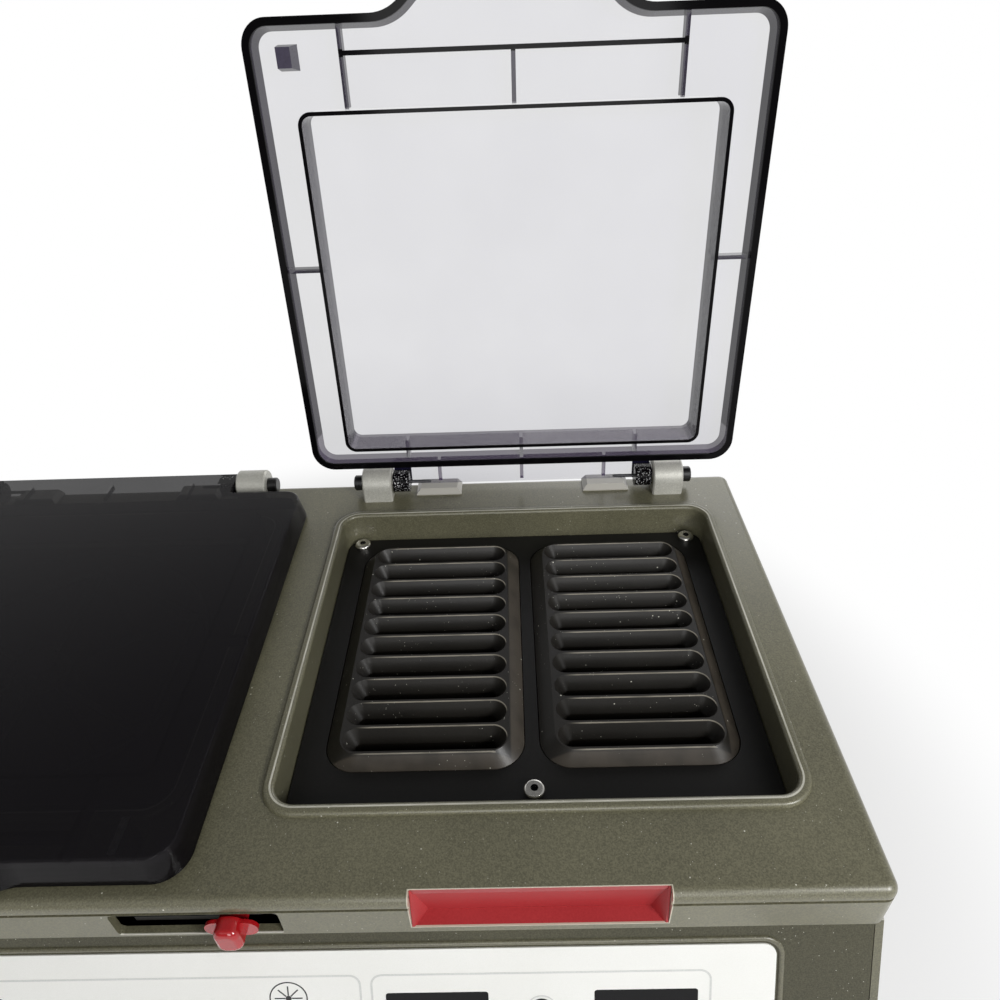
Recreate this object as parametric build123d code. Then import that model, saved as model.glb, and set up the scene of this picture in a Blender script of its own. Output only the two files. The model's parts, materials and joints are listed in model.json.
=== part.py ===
from build123d import *
import os
from math import cos, radians, sin

# Bench-top unit with two lidded bays: a warm rack of card slots on the right, a card centrifuge on the left.
# Millimetres, +Z up, front towards -Y, origin on the table under the middle of the whole, open lid included.
# The right lid stands open and the left lid is shut.

# Case sizes
LIDS_APART = 5.0         # between the skirts of the two shut lids
WELL_W = 206.0           # well opening, side to side, between the crests of its bead
WELL_D = 181.3           # well opening, front to rear, between the crests of its bead
SIDE_MARGIN = 4.4        # lid skirt to the side of the case
FRONT_MARGIN = 35.0      # bead crest to the front lip
REAR_MARGIN = 32.8       # bead crest to the rear of the case
DECK_Z = 185.0           # top of the deck above the table
DECK_T = 3.0             # deck moulding
DECK_CORNER_R = 5.0      # deck corners seen from above
DECK_EDGE_R = 4.0        # roll of the deck's outer edge
LIP_DROP = 22.0          # depth of the deck's outer lip
GROOVE_DROP = 4.8        # deck to the shadow groove in the front lip
GROOVE_H = 1.6           # height of the groove
GROOVE_DEPTH = 1.2       # depth of the groove
SIDE_T = 3.0             # side, rear and front plates
BASE_T = 2.0             # base pan
BASE_WALL_H = 14.0       # turned-up rim of the base pan
FOOT_H = 10.0            # rubber feet
FOOT_R = 12.0            # rubber feet
FOOT_INSET = 34.0        # middle of a foot from the case's sides
FOOT_CHAMFER = 1.5       # lower edge of a foot
SEAM = 0.3               # gap left between neighbouring plates

# Front panel sizes
PANEL_LEAN = 25.0        # degrees from upright
PANEL_LEN = 92.0         # down the slope
PANEL_SETBACK = 2.0      # top edge behind the lip
PANEL_GAP = 2.0          # top edge below the lip
OVERLAY_T = 0.5          # white front sheet
OVERLAY_TOP = 8.5        # top of the sheet below the panel's top edge
OVERLAY_H = 70.0         # height of the sheet
OVERLAY_W = 414.0        # width of the sheet
OVERLAY_R = 5.0          # corners of the sheet
WINDOW_H = 20.0          # display windows
WINDOW_TOP = 27.0        # top of the windows below the panel's top edge
WINDOW_R = 1.2           # corners of the windows
TIMER_W = 38.0           # width of each of the right group's two windows
TIMER_PITCH = 77.0       # from one to the other
SPEED_W = 62.0           # width of the left group's window
SPEED_X = -110.0         # its middle
LENS_T = 2.1             # display lenses
LENS_FIT = 0.2           # lens in its window
BOARD_GAP = 8.0          # panel to display board
BOARD_T = 1.6            # circuit boards
BOARD_MARGIN = 6.0       # display board beyond the windows
KEY_R = 3.8              # key caps
KEY_FIT = 0.3            # key in its hole
KEY_PROUD = 1.6          # key above the sheet
KEY_TRAVEL = 1.0         # press
KEY_COLLAR = 1.2         # collar that keeps the key in, beyond the cap
KEY_COLLAR_T = 1.0       # thickness of the collar
KEY_STEM = 3.4           # key below its collar
KEY_EDGE = 0.7           # rounding of the cap
KEY_ROW = 58.0           # lower row of keys below the panel's top edge
KEY_MID = 34.5           # middle key between the two timer windows
KEY_PITCH = 20.0         # keys of the left group
SWITCH_W = 6.0           # tact switches behind the keys

# Lid and hinge sizes, with the lid shut
LID_W = 238.0            # across the skirt's tip
LID_FRONT = 28.4         # skirt tip in front of the bead's front crest
LID_REAR = 10.3          # skirt tip behind the bead's rear crest
LID_LIFT = 1.7           # skirt tip above the deck
LID_TOP = 14.3           # top of the lid above the deck
LID_T = 3.0              # lid plate
LID_WALL = 3.3           # skirt wall
LID_DRAFT = 11.0         # degrees, the skirt leans in as it rises
LID_CORNER_R = 12.0      # lid corners seen from above
LID_EDGE_R = 1.2         # rounding along the lid's top edge
TAB_ROOT = 108.0         # width of the pull tab at the skirt
TAB_TIP = 80.0           # width of the pull tab at its tip
TAB_REACH = 13.0         # tab beyond the skirt
TAB_FLARE_R = 20.0       # hollow curve at the tab's root
TAB_TIP_R = 12.0         # round curve at the tab's tip
RING_W = 194.0           # wall under the lid that drops into the well, outside
RING_D = 167.8           # its depth, outside
RING_AHEAD = 8.15        # its front face behind the bead's front crest
RING_T = 1.7             # its wall
RING_DROP = 7.9          # its tip below the deck
RING_CORNER_R = 6.0      # its corners
RIB_T = 2.0              # ribs under the lid
RIB_H = 6.0              # depth of the ribs below the plate
CROSS_RIB_AHEAD = 15.0   # cross rib in front of the bead's front crest
CROSS_RIB_W = 155.0      # length of the cross rib
SIDE_RIB_Y = 79.0        # side ribs behind the bead's front crest
REAR_RIB_X = 65.0        # rear ribs from the lid's middle
APRON_RIB_X = 48.0       # ribs of the rear apron from the lid's middle
APRON_RIB_H = 3.0        # their depth
HINGE_BEHIND = 22.7      # hinge axis behind the bead's rear crest
HINGE_RISE = 7.9         # hinge axis above the deck
OPEN_DEG = 96.5          # the lid's travel
BLOCK_R = 9.2            # round top of the hinge blocks
BLOCK_W = 17.0           # hinge block, side to side
BLOCK_IN = 76.0          # inner face of a hinge block from the lid's middle
BLOCK_EDGE = 0.8         # bevel of the blocks
PIN_R = 2.5              # hinge pin shank
PIN_HEAD_R = 4.5         # hinge pin head
PIN_HEAD_L = 5.5         # hinge pin head
PIN_FIT = 0.05           # pin in its bores
PIN_EDGE = 0.6           # bevel of the pin head
KNUCKLE_R = 6.0          # lid knuckle
KNUCKLE_W = 9.4          # lid knuckle, side to side
KNUCKLE_GAP = 0.7        # knuckle to hinge block
APRON_PAST = 3.3         # apron behind the hinge axis
PAD_X = 49.2             # stop pads from the bay's middle
PAD_W = 26.6             # stop pads, side to side
PAD_AHEAD = 4.0          # pad front in front of the hinge axis
PAD_PAST = 8.0           # pad rear behind the hinge axis
PAD_CLEAR = 0.3          # pad top to the apron's edge of the open lid
PAD_BEVEL = 2.6          # bevel round the pad's top
PEG_INSET = 18.0         # lid magnet from the skirt's tip at the lid's left
PEG_AHEAD = 13.0         # its middle in front of the bead's front crest
PEG_W = 8.6              # its width at the plate
PEG_D = 10.4             # its depth at the plate
PEG_TAPER = 6.0          # degrees
PEG_LIFT = 0.8           # its tip above the deck
SENSOR_W = 12.0          # lid sensor under the deck
SENSOR_D = 9.0           # its depth
SENSOR_H = 6.0           # its height

# Bead and well sizes
BEAD_H = 2.0             # crest above the deck
BEAD_FOOT = 3.4          # crest to the bead's outer foot
BEAD_INNER = 1.6         # crest to the well wall
BEAD_R = 1.7             # rounding of the bead
WELL_CORNER_R = 11.0     # at the crest
WELL_WALL = 2.5          # wall of the well frame
WELL_FIT = 0.2           # well frame in the deck's opening
FLANGE_DROP = 16.0       # deck to the plate in the well
FLANGE_T = 2.5           # that plate
FLANGE_FIT = 0.6         # that plate in the well
LEDGE_T = 2.5            # ledge that carries the plate
SCREW_R = 2.0            # screw shank
SCREW_FIT = 0.2          # screw in its hole
SCREW_HEAD_R = 4.5       # pan head
SCREW_HEAD_H = 3.0       # pan head
SCREW_L = 9.0            # shank below the head
SCREW_SOCKET_R = 1.6     # driver socket
SCREW_SOCKET_H = 1.6     # its depth
REAR_SCREW_X = 92.6      # well screws at the rear corners
REAR_SCREW_BACK = 7.8    # rear screws in front of the bead's rear crest
FRONT_SCREW_BACK = 15.5  # front screw behind the bead's front crest

# Rack sizes
SLOT_ROWS = 10           # slots in each bank
SLOT_PITCH = 13.3        # from slot to slot
SLOT_L = 70.6            # mouth, along the row
SLOT_MOUTH = 12.0        # mouth, across
SLOT_W = 5.2             # slot below the mouth, across
SLOT_TAPER = 4.4         # mouth drawn in at each end
SLOT_MOUTH_DROP = 7.0    # depth of the mouth's funnel
SLOT_DEPTH = 46.0        # bank top to slot floor
FIRST_SLOT = 38.0        # front row behind the bead's front crest
BANK_X = 46.2            # bank middle from the bay's middle
BANK_RISE = 6.0          # bank above the plate
BANK_EDGE = 1.2          # flat round the mouths
BANK_SIDE_SLOPE = 6.3    # run of the side slopes
BANK_END_SLOPE = 4.5     # run of the front and rear slopes
BANK_R = 9.0             # corners of the bank's top
BLOCK_FLOOR = 6.0        # below the slots
BLOCK_FIT = 0.4          # bank in its window
MAT_T = 1.5              # heater mats
FOAM_T = 14.0            # insulation slab
FOAM_MARGIN = 8.0        # insulation beyond the banks
SHELF_T = 1.5            # sheet shelf
LEG_W = 12.0             # shelf legs
PROBE_R = 2.0            # temperature probes
PROBE_L = 24.0           # their length
PROBE_FIT = 0.1          # probe in its hole

# Centrifuge sizes
BOWL_R = 82.0            # inside
BOWL_T = 2.0             # bowl wall
BOWL_FLOOR_DROP = 90.0   # deck to the bowl's floor
ROTOR_R = 77.0           # drum, to its corners
ROTOR_H = 60.0           # drum
ROTOR_CLEAR = 6.0        # rotor above the bowl's floor
ROTOR_WALL = 3.0         # drum wall and spokes
ROTOR_FLOOR = 4.0        # drum floor
ROTOR_SPOKES = 6         # sides and radial walls of the drum
HUB_R = 14.0             # rotor hub
SHAFT_R = 4.0            # motor shaft
SHAFT_FIT = 0.05         # shaft in its bores
SHAFT_TAIL = 12.0        # shaft's lower end above the motor's foot
NUT_R = 11.0             # rotor nut
NUT_H = 9.0              # rotor nut
NUT_FLUTES = 8           # grip flutes of the nut
NUT_FLUTE_R = 1.6        # their radius
SEAL_R = 10.0            # shaft seal, outside
SEAL_GAP = 0.4           # seal to shaft
SEAL_T = 4.0             # shaft seal
MOTOR_R = 32.0           # motor
MOTOR_H = 56.0           # motor
MOTOR_BORE_R = 9.0       # motor bore
BEARING_T = 6.0          # motor bearings
PLATE_T = 4.0            # motor plate
PLATE_W = 150.0          # motor plate, square
PLATE_BELOW = 5.0        # below the bowl
PLATE_HOLE_R = 12.0      # hole for the shaft
MOUNT_INSET = 14.0       # rubber mounts from the plate's edges
MOUNT_R = 9.0            # rubber mounts
MOUNT_H = 14.0           # rubber mounts
POST_R = 7.0             # posts under the mounts

# Finger grip sizes
GRIP_W = 91.0            # red insert, side to side
GRIP_BACK = 4.2          # its top edge behind the lip's face
GRIP_DROP = 18.5         # its bottom edge below the deck
GRIP_DEEP = 5.6          # deepest line of its hollow behind the lip's face
GRIP_DEEP_DROP = 17.0    # deepest line below the deck
GRIP_SLANT = 4.6         # slope of the hollow's ends
GRIP_RIM = 0.8           # rim beside the hollow
GRIP_FIT = 0.15          # insert in its notch
GRIP_DEPTH = 13.0        # insert behind the lip's face
GRIP_BELOW = 2.0         # insert below its notch

# Lid lock sizes
LOCK_SLOT_W = 60.0       # slot in the lip
LOCK_SLOT_H = 14.0       # slot in the lip
LOCK_SLOT_TOP = 6.5      # deck to the slot's top
LOCK_SLOT_R = 2.0        # corners of the slot
LOCK_TRAVEL = 26.0       # slide
KNOB_X = 13.0            # knob's middle as photographed
KNOB_W = 9.6             # knob
KNOB_H = 13.0            # knob
KNOB_PROUD = 7.0         # knob in front of the lip
KNOB_R = 4.0             # corners of the knob seen from the front
KNOB_EDGE = 2.4          # rounding of the knob's front
TAIL_W = 19.0            # thin wings of the knob
TAIL_H = 9.0             # thin wings of the knob
TAIL_T = 1.4             # thin wings of the knob
LOCK_RUN = 0.5           # running gap round the lock's pieces
BAR_T = 3.0              # lock bar
BAR_DROP = 11.5          # deck to the bar's top
BAR_W = 20.0             # broad part of the bar, along its travel
BAR_RIGHT = 9.0          # broad part beyond the knob's middle
NOSE_L = 24.0            # nose of the bar
NOSE_W = 6.0             # nose of the bar
NOSE_BACK = 19.5         # middle of the nose behind the lip's face
KEEPER_T = 3.0           # keeper tongue on the left lid
KEEPER_GAP = 4.0         # nose tip to keeper when unlocked
KEEPER_W = 14.0          # tongue, front to rear
KEEPER_BELOW = 2.5       # tongue below the bar
KEEPER_FREE = 2.2        # window round the nose
KEEPER_SLOT = 2.4        # deck slot round the tongue
GUIDE_T = 2.5            # guide bracket

# Rear panel and electronics sizes
FAN_X = 150.0            # fan's middle
FAN_Z = 70.0             # fan's middle above the table
FAN_W = 60.0             # fan frame, square
FAN_T = 15.0             # fan frame
FAN_BORE_R = 28.0        # air passage
FAN_BLADE_R = 26.5       # blade tips
FAN_HUB_R = 13.0         # hub
FAN_HUB_GAP = 0.8        # hub to its spider
FAN_SPIDER_T = 3.0       # spider across the frame
FAN_STRUT = 4.0          # arms of the spider
FAN_BLADES = 7           # blades
FAN_BLADE_T = 1.2        # blades
FAN_BLADE_PITCH = 35.0   # degrees
FAN_AXLE_R = 2.0         # fan axle
VENT_W = 4.0             # vent slots
VENT_PITCH = 7.0         # vent slots
INLET_X = -185.0         # power inlet's middle
INLET_Z = 50.0           # power inlet's middle above the table
INLET_W = 27.0           # inlet body
INLET_H = 20.0           # inlet body
INLET_DEPTH = 22.0       # inlet body
INLET_FLANGE = 4.0       # flange round the inlet
INLET_FLANGE_T = 2.0     # flange round the inlet
INLET_WALL = 2.0         # inlet wall
INLET_CAVITY = 15.0      # depth of the socket
BLADE_W = 2.0            # contact blades
BLADE_H = 4.0            # contact blades
BLADE_PITCH = 7.0        # contact blades
BLADE_SHORT = 3.0        # blades behind the socket's mouth
ROCKER_X = -145.0        # power switch's middle
ROCKER_W = 11.0          # rocker
ROCKER_H = 20.0          # rocker
ROCKER_R = 17.0          # rocker's face
ROCKER_DEEP = 9.0        # rocker's axis behind the panel's face
ROCKER_TILT = 10.0       # degrees each way
ROCKER_FIT = 0.4         # rocker in its frame
ROCKER_AXLE_R = 1.5      # rocker's axle
ROCKER_NECK = 4.0        # rocker's lower face below its axis
SWITCH_WALL = 1.8        # switch frame
SWITCH_DEPTH = 20.0      # switch frame
FUSE_X = -112.0          # fuse holder's middle
FUSE_R = 7.0             # fuse holder's cap
FUSE_NECK_R = 6.0        # fuse holder's body
FUSE_L = 30.0            # fuse holder's body
FUSE_CAP_T = 4.0         # fuse holder's cap
MAIN_W = 170.0           # main board
MAIN_D = 110.0           # main board
STANDOFF_R = 3.0         # standoffs
STANDOFF_H = 8.0         # standoffs
STANDOFF_INSET = 6.0     # standoffs from the board's edges
CHIP_W = 16.0            # large chips on the main board
CHIP_H = 2.0             # large chips on the main board
CAN_R = 6.0              # capacitors on the main board
CAN_H = 18.0             # capacitors on the main board
SUPPLY_W = 46.0          # power supply
SUPPLY_D = 120.0         # power supply
SUPPLY_H = 38.0          # power supply
SUPPLY_GAP = 8.0         # power supply to main board
CASE_SCREW_R = 3.4       # case screw heads
CASE_SCREW_H = 2.0       # case screw heads
CASE_SCREW_INSET = 26.0  # case screws from the rear corners
CASE_SCREW_Z = 18.0      # lower case screws above the table

# Places worked out from the sizes
LEFT = -1
RIGHT = 1
BAY_PITCH = LID_W + LIDS_APART
BAY_X = BAY_PITCH / 2
SIDE_X = BAY_X + LID_W / 2 + SIDE_MARGIN
INNER_X = SIDE_X - SIDE_T
LEAN_SIN = sin(radians(PANEL_LEAN))
LEAN_COS = cos(radians(PANEL_LEAN))
PANEL_OUT = PANEL_LEN * LEAN_SIN - PANEL_SETBACK
CASE_D = PANEL_OUT + FRONT_MARGIN + WELL_D + REAR_MARGIN
OPEN_COS = cos(radians(OPEN_DEG))
OPEN_SIN = sin(radians(OPEN_DEG))
LID_LEAN = sin(radians(LID_DRAFT)) / cos(radians(LID_DRAFT))
TIP_BEHIND = (LID_EDGE_R / cos(radians(LID_DRAFT)) + LID_LEAN * (LID_TOP - LID_LIFT - LID_EDGE_R)
              - WELL_D - HINGE_BEHIND - LID_FRONT - TAB_REACH)
TIP_RISE = LID_TOP - LID_EDGE_R - HINGE_RISE
OPEN_REACH = TIP_BEHIND * OPEN_COS + TIP_RISE * OPEN_SIN + LID_EDGE_R
OVERHANG = OPEN_REACH + HINGE_BEHIND - REAR_MARGIN
NOSE_Y = -(CASE_D + OVERHANG) / 2
REAR_Y = NOSE_Y + CASE_D
LIP_Y = NOSE_Y + PANEL_OUT
LIP_Z = DECK_Z - LIP_DROP
WELL_Y0 = LIP_Y + FRONT_MARGIN
WELL_Y1 = WELL_Y0 + WELL_D
WELL_YC = (WELL_Y0 + WELL_Y1) / 2
CREST_Z = DECK_Z + BEAD_H
FLANGE_Z = DECK_Z - FLANGE_DROP
LEDGE_Z = FLANGE_Z - FLANGE_T
BASE_Z = FOOT_H
FLOOR_Z = BASE_Z + BASE_T
AXIS_Y = WELL_Y1 + HINGE_BEHIND
AXIS_Z = DECK_Z + HINGE_RISE
LID_Y0 = WELL_Y0 - LID_FRONT
LID_Y1 = WELL_Y1 + LID_REAR
LID_Z0 = DECK_Z + LID_LIFT
LID_Z1 = DECK_Z + LID_TOP
PEG_X = PEG_INSET - LID_W / 2
PLATE_Z = LID_Z1 - LID_T
BANK_Z = FLANGE_Z + BANK_RISE
BLOCK_Z = BANK_Z - SLOT_DEPTH - BLOCK_FLOOR
MAT_Z = BLOCK_Z - MAT_T
FOAM_Z = MAT_Z - FOAM_T
SHELF_Z = FOAM_Z - SHELF_T
SLOT_SPAN = (SLOT_ROWS - 1) * SLOT_PITCH
BANK_Y = WELL_Y0 + FIRST_SLOT + SLOT_SPAN / 2
BANK_TOP_W = SLOT_L + 2 * BANK_EDGE
BANK_TOP_D = SLOT_SPAN + SLOT_MOUTH + 2 * BANK_EDGE
BANK_W = BANK_TOP_W + 2 * BANK_SIDE_SLOPE
BANK_D = BANK_TOP_D + 2 * BANK_END_SLOPE
BANK_BASE_R = BANK_R + BANK_END_SLOPE
BOWL_Z = DECK_Z - BOWL_FLOOR_DROP
ROTOR_Z = BOWL_Z + ROTOR_CLEAR
ROTOR_TOP = ROTOR_Z + ROTOR_H
MOTOR_TOP = BOWL_Z - BOWL_T - PLATE_BELOW - PLATE_T
MOTOR_Z = MOTOR_TOP - MOTOR_H
PANEL_Y = LIP_Y + PANEL_SETBACK
PANEL_Z = LIP_Z - PANEL_GAP
PANEL_FOOT_Z = PANEL_Z - PANEL_LEN * LEAN_COS
PANEL = Plane(origin=(0, PANEL_Y, PANEL_Z), x_dir=(1, 0, 0), z_dir=(0, -LEAN_COS, LEAN_SIN))
OPENING = Location((0, AXIS_Y, AXIS_Z)) * Rot(-OPEN_DEG, 0, 0) * Location((0, -AXIS_Y, -AXIS_Z))
BAR_Z1 = DECK_Z - BAR_DROP
BAR_Z0 = BAR_Z1 - BAR_T
BAR_X1 = KNOB_X + BAR_RIGHT
BAR_X0 = BAR_X1 - BAR_W
NOSE_X = BAR_X0 - NOSE_L
NOSE_Y1 = LIP_Y + NOSE_BACK + NOSE_W / 2
KEEPER_X = NOSE_X - KEEPER_GAP
KEEPER_Y = LIP_Y + NOSE_BACK
TIMER_XS = (BAY_X - TIMER_PITCH / 2, BAY_X + TIMER_PITCH / 2)
WINDOWS = [(x, TIMER_W) for x in TIMER_XS] + [(SPEED_X, SPEED_W)]
KEYS = {
    "key_timer_left": (TIMER_XS[0], KEY_ROW),
    "key_timer_mid": (BAY_X, KEY_MID),
    "key_timer_right": (TIMER_XS[1], KEY_ROW),
    "key_spin_less": (SPEED_X - KEY_PITCH, KEY_ROW),
    "key_spin_start": (SPEED_X, KEY_ROW),
    "key_spin_more": (SPEED_X + KEY_PITCH, KEY_ROW),
}


# Shapes used by several pieces

def slab(x0, x1, y0, y1, z0, z1):
    """A box between two corners."""
    return Pos((x0 + x1) / 2, (y0 + y1) / 2, (z0 + z1) / 2) * Box(x1 - x0, y1 - y0, z1 - z0)


def post(x, y, z0, z1, radius):
    """An upright round bar."""
    return Pos(x, y, (z0 + z1) / 2) * Cylinder(radius, z1 - z0)


def rod(x0, x1, y, z, radius):
    """A round bar along X."""
    return Pos((x0 + x1) / 2, y, z) * Rot(0, 90, 0) * Cylinder(radius, abs(x1 - x0))


def spindle(x, y0, y1, z, radius):
    """A round bar along Y."""
    return Pos(x, (y0 + y1) / 2, z) * Rot(90, 0, 0) * Cylinder(radius, y1 - y0)


def upright(outline, x, y, z0, z1):
    """An outline drawn from above, raised from one height to another."""
    return Pos(x, y, z0) * extrude(outline, z1 - z0)


def on_panel(x, down, outline, depth0, depth1):
    """An outline on the leaning panel, from one depth to another along the panel's outward normal."""
    return PANEL * Pos(x, -down, depth0) * extrude(outline, depth1 - depth0)


def well_outline(grow):
    """The well's plan at the crest of its bead, grown on every side."""
    return RectangleRounded(WELL_W + 2 * grow, WELL_D + 2 * grow, WELL_CORNER_R + grow)


def in_bay(side, outline, z0, z1):
    """An outline raised about the middle of one bay."""
    return upright(outline, side * BAY_X, WELL_YC, z0, z1)


def well_screw_places(side):
    """Middles of the screws in a well: three in the rack's plate, one in each corner of the bowl's flange."""
    middle = side * BAY_X
    corners = [(middle + end * REAR_SCREW_X, WELL_Y1 - REAR_SCREW_BACK) for end in (LEFT, RIGHT)]
    if side == RIGHT:
        return corners + [(middle, WELL_Y0 + FRONT_SCREW_BACK)]
    return corners + [(middle + end * REAR_SCREW_X, WELL_Y0 + REAR_SCREW_BACK) for end in (LEFT, RIGHT)]


def wedge(half, edge_a, edge_b, edge_c, inset):
    """A three-edged bar along X from Y, Z corners, its third edge drawn in at both ends."""
    ends = []
    for sign in (LEFT, RIGHT):
        a, b = [(sign * half, y, z) for y, z in (edge_a, edge_b)]
        c = (sign * (half - inset), *edge_c)
        ends.append((a, b, c))
    (a0, b0, c0), (a1, b1, c1) = ends
    loops = [(a0, b0, c0), (a1, b1, c1), (a0, b0, b1, a1), (b0, c0, c1, b1), (c0, a0, a1, c1)]
    return Solid(Shell([Face(Wire.make_polygon(loop)) for loop in loops]))


# Case

def grip_edges():
    """Top, bottom and deepest edges of the finger hollow, as Y, Z pairs."""
    top = (LIP_Y + GRIP_BACK, DECK_Z)
    bottom = (LIP_Y, DECK_Z - GRIP_DROP)
    deep = (LIP_Y + GRIP_DEEP, DECK_Z - GRIP_DEEP_DROP)
    return top, bottom, deep


def deck():
    """Top moulding: rolled edge, grooved lip, an opening for each well frame, stop pads and cut-outs."""
    body = slab(-SIDE_X, SIDE_X, LIP_Y, REAR_Y, LIP_Z, DECK_Z)
    body = fillet(body.edges().filter_by(Axis.Z), DECK_CORNER_R)
    body = fillet(body.faces().sort_by(Axis.Z)[-1].edges(), DECK_EDGE_R)
    body -= slab(-SIDE_X + DECK_T, SIDE_X - DECK_T, LIP_Y + DECK_T, REAR_Y - DECK_T, LIP_Z, DECK_Z - DECK_T)
    groove_z = DECK_Z - GROOVE_DROP
    body -= slab(-SIDE_X, SIDE_X, LIP_Y, LIP_Y + GROOVE_DEPTH, groove_z - GROOVE_H, groove_z)
    for side in (LEFT, RIGHT):
        middle = side * BAY_X
        body -= in_bay(side, well_outline(WELL_WALL - BEAD_INNER + WELL_FIT), DECK_Z - DECK_T, DECK_Z)
        for pad_side in (LEFT, RIGHT):
            body += stop_pad(middle + pad_side * PAD_X)
        top, bottom, _ = grip_edges()
        body -= slab(middle - GRIP_W / 2, middle + GRIP_W / 2, LIP_Y, top[0], bottom[1], DECK_Z)
    slot = RectangleRounded(LOCK_SLOT_W, LOCK_SLOT_H, LOCK_SLOT_R)
    slot_z = DECK_Z - LOCK_SLOT_TOP - LOCK_SLOT_H / 2
    body -= Pos(0, LIP_Y + DECK_T, slot_z) * Rot(90, 0, 0) * extrude(slot, DECK_T)
    half_slot = KEEPER_W / 2 + KEEPER_SLOT
    keeper_x0 = KEEPER_X - KEEPER_T
    body -= slab(keeper_x0 - KEEPER_SLOT, KEEPER_X + KEEPER_SLOT, KEEPER_Y - half_slot, KEEPER_Y + half_slot,
                 DECK_Z - DECK_T, DECK_Z)
    return body


def well_frame(side):
    """Frame that hangs by its bead in the deck's opening, with a ledge for the plate of the well."""
    body = in_bay(side, well_outline(BEAD_FOOT), DECK_Z, CREST_Z)
    body += in_bay(side, well_outline(WELL_WALL - BEAD_INNER), LEDGE_Z - LEDGE_T, DECK_Z)
    body -= in_bay(side, well_outline(-BEAD_INNER), LEDGE_Z, CREST_Z)
    body = fillet(body.edges().filter_by_position(Axis.Z, CREST_Z, CREST_Z), BEAD_R)
    if side == RIGHT:
        rack_half = BANK_X + BANK_W / 2 + BLOCK_FIT
        rack_opening = Rectangle(2 * rack_half, BANK_D + 2 * BLOCK_FIT)
        body -= upright(rack_opening, BAY_X, BANK_Y, LEDGE_Z - LEDGE_T, LEDGE_Z)
    else:
        body -= in_bay(LEFT, Circle(BOWL_R + BOWL_T + BLOCK_FIT), LEDGE_Z - LEDGE_T, LEDGE_Z)
    for x, y in well_screw_places(side):
        body -= post(x, y, LEDGE_Z - LEDGE_T, LEDGE_Z, SCREW_R + SCREW_FIT)
    return body


def stop_pad(x):
    """Bevelled pad behind the well that the open lid's apron comes to rest on."""
    apron_fall = APRON_PAST * OPEN_SIN - (LID_TOP - HINGE_RISE) * OPEN_COS
    top = AXIS_Z - apron_fall - PAD_CLEAR
    pad = slab(x - PAD_W / 2, x + PAD_W / 2, AXIS_Y - PAD_AHEAD, AXIS_Y + PAD_PAST, DECK_Z, top)
    upper = pad.faces().sort_by(Axis.Z)[-1].edges()
    return chamfer(upper.sort_by(Axis.Y)[:-1], PAD_BEVEL)


def side_panel(side):
    """Flat side plate whose front edge follows the lip, the leaning panel and the upright foot."""
    corners = [(REAR_Y, BASE_Z), (REAR_Y, LIP_Z), (LIP_Y + DECK_CORNER_R, LIP_Z), (PANEL_Y, PANEL_Z),
               (NOSE_Y, PANEL_FOOT_Z), (NOSE_Y, BASE_Z)]
    inner, outer = sorted((side * INNER_X, side * SIDE_X))
    face = Face(Wire.make_polygon([(inner, y, z) for y, z in corners]))
    plate = extrude(face, outer - inner, dir=(1, 0, 0))
    for y in case_screw_ys():
        plate -= rod(side * INNER_X, side * SIDE_X, y, CASE_SCREW_Z, SCREW_R + SCREW_FIT)
    return plate


def case_screw_ys():
    """Front and rear places of the screws in the side plates."""
    return NOSE_Y + CASE_SCREW_INSET, REAR_Y - CASE_SCREW_INSET


def rear_panel():
    """Rear plate with the fan's vent slots and the holes for the inlet, the switch and the fuse."""
    face_y = REAR_Y - SIDE_T
    body = slab(-INNER_X, INNER_X, face_y, REAR_Y, BASE_Z, LIP_Z)
    slots = int(2 * FAN_BORE_R / VENT_PITCH)
    for index in range(slots):
        x = (index - (slots - 1) / 2) * VENT_PITCH
        half = (FAN_BORE_R ** 2 - x ** 2) ** 0.5
        body -= slab(FAN_X + x - VENT_W / 2, FAN_X + x + VENT_W / 2, face_y, REAR_Y, FAN_Z - half, FAN_Z + half)
    half_w = INLET_W / 2 + LENS_FIT
    half_h = INLET_H / 2 + LENS_FIT
    body -= slab(INLET_X - half_w, INLET_X + half_w, face_y, REAR_Y, INLET_Z - half_h, INLET_Z + half_h)
    half_w = ROCKER_W / 2 + ROCKER_FIT + SWITCH_WALL + LENS_FIT
    half_h = ROCKER_H / 2 + ROCKER_FIT + SWITCH_WALL + LENS_FIT
    body -= slab(ROCKER_X - half_w, ROCKER_X + half_w, face_y, REAR_Y, INLET_Z - half_h, INLET_Z + half_h)
    return body - spindle(FUSE_X, face_y, REAR_Y, INLET_Z, FUSE_NECK_R + LENS_FIT)


def front_panel():
    """Leaning panel with its display windows, key holes and the bosses for the display board."""
    width = 2 * INNER_X - 2 * SEAM
    body = on_panel(0, PANEL_LEN / 2, Rectangle(width, PANEL_LEN), -SIDE_T, 0)
    for x, window_w in WINDOWS:
        outline = RectangleRounded(window_w, WINDOW_H, WINDOW_R)
        body -= on_panel(x, WINDOW_TOP + WINDOW_H / 2, outline, -SIDE_T, 0)
    for x, down in KEYS.values():
        body -= on_panel(x, down, Circle(KEY_R + KEY_FIT), -SIDE_T, 0)
    for x, down in board_boss_places():
        body += on_panel(x, down, Circle(STANDOFF_R), -SIDE_T - BOARD_GAP, -SIDE_T)
    return body


def lower_front():
    """Upright plate under the leaning panel."""
    top = PANEL_FOOT_Z - SIDE_T * LEAN_SIN - SEAM
    return slab(-INNER_X + SEAM, INNER_X - SEAM, NOSE_Y, NOSE_Y + SIDE_T, BASE_Z, top)


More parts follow.
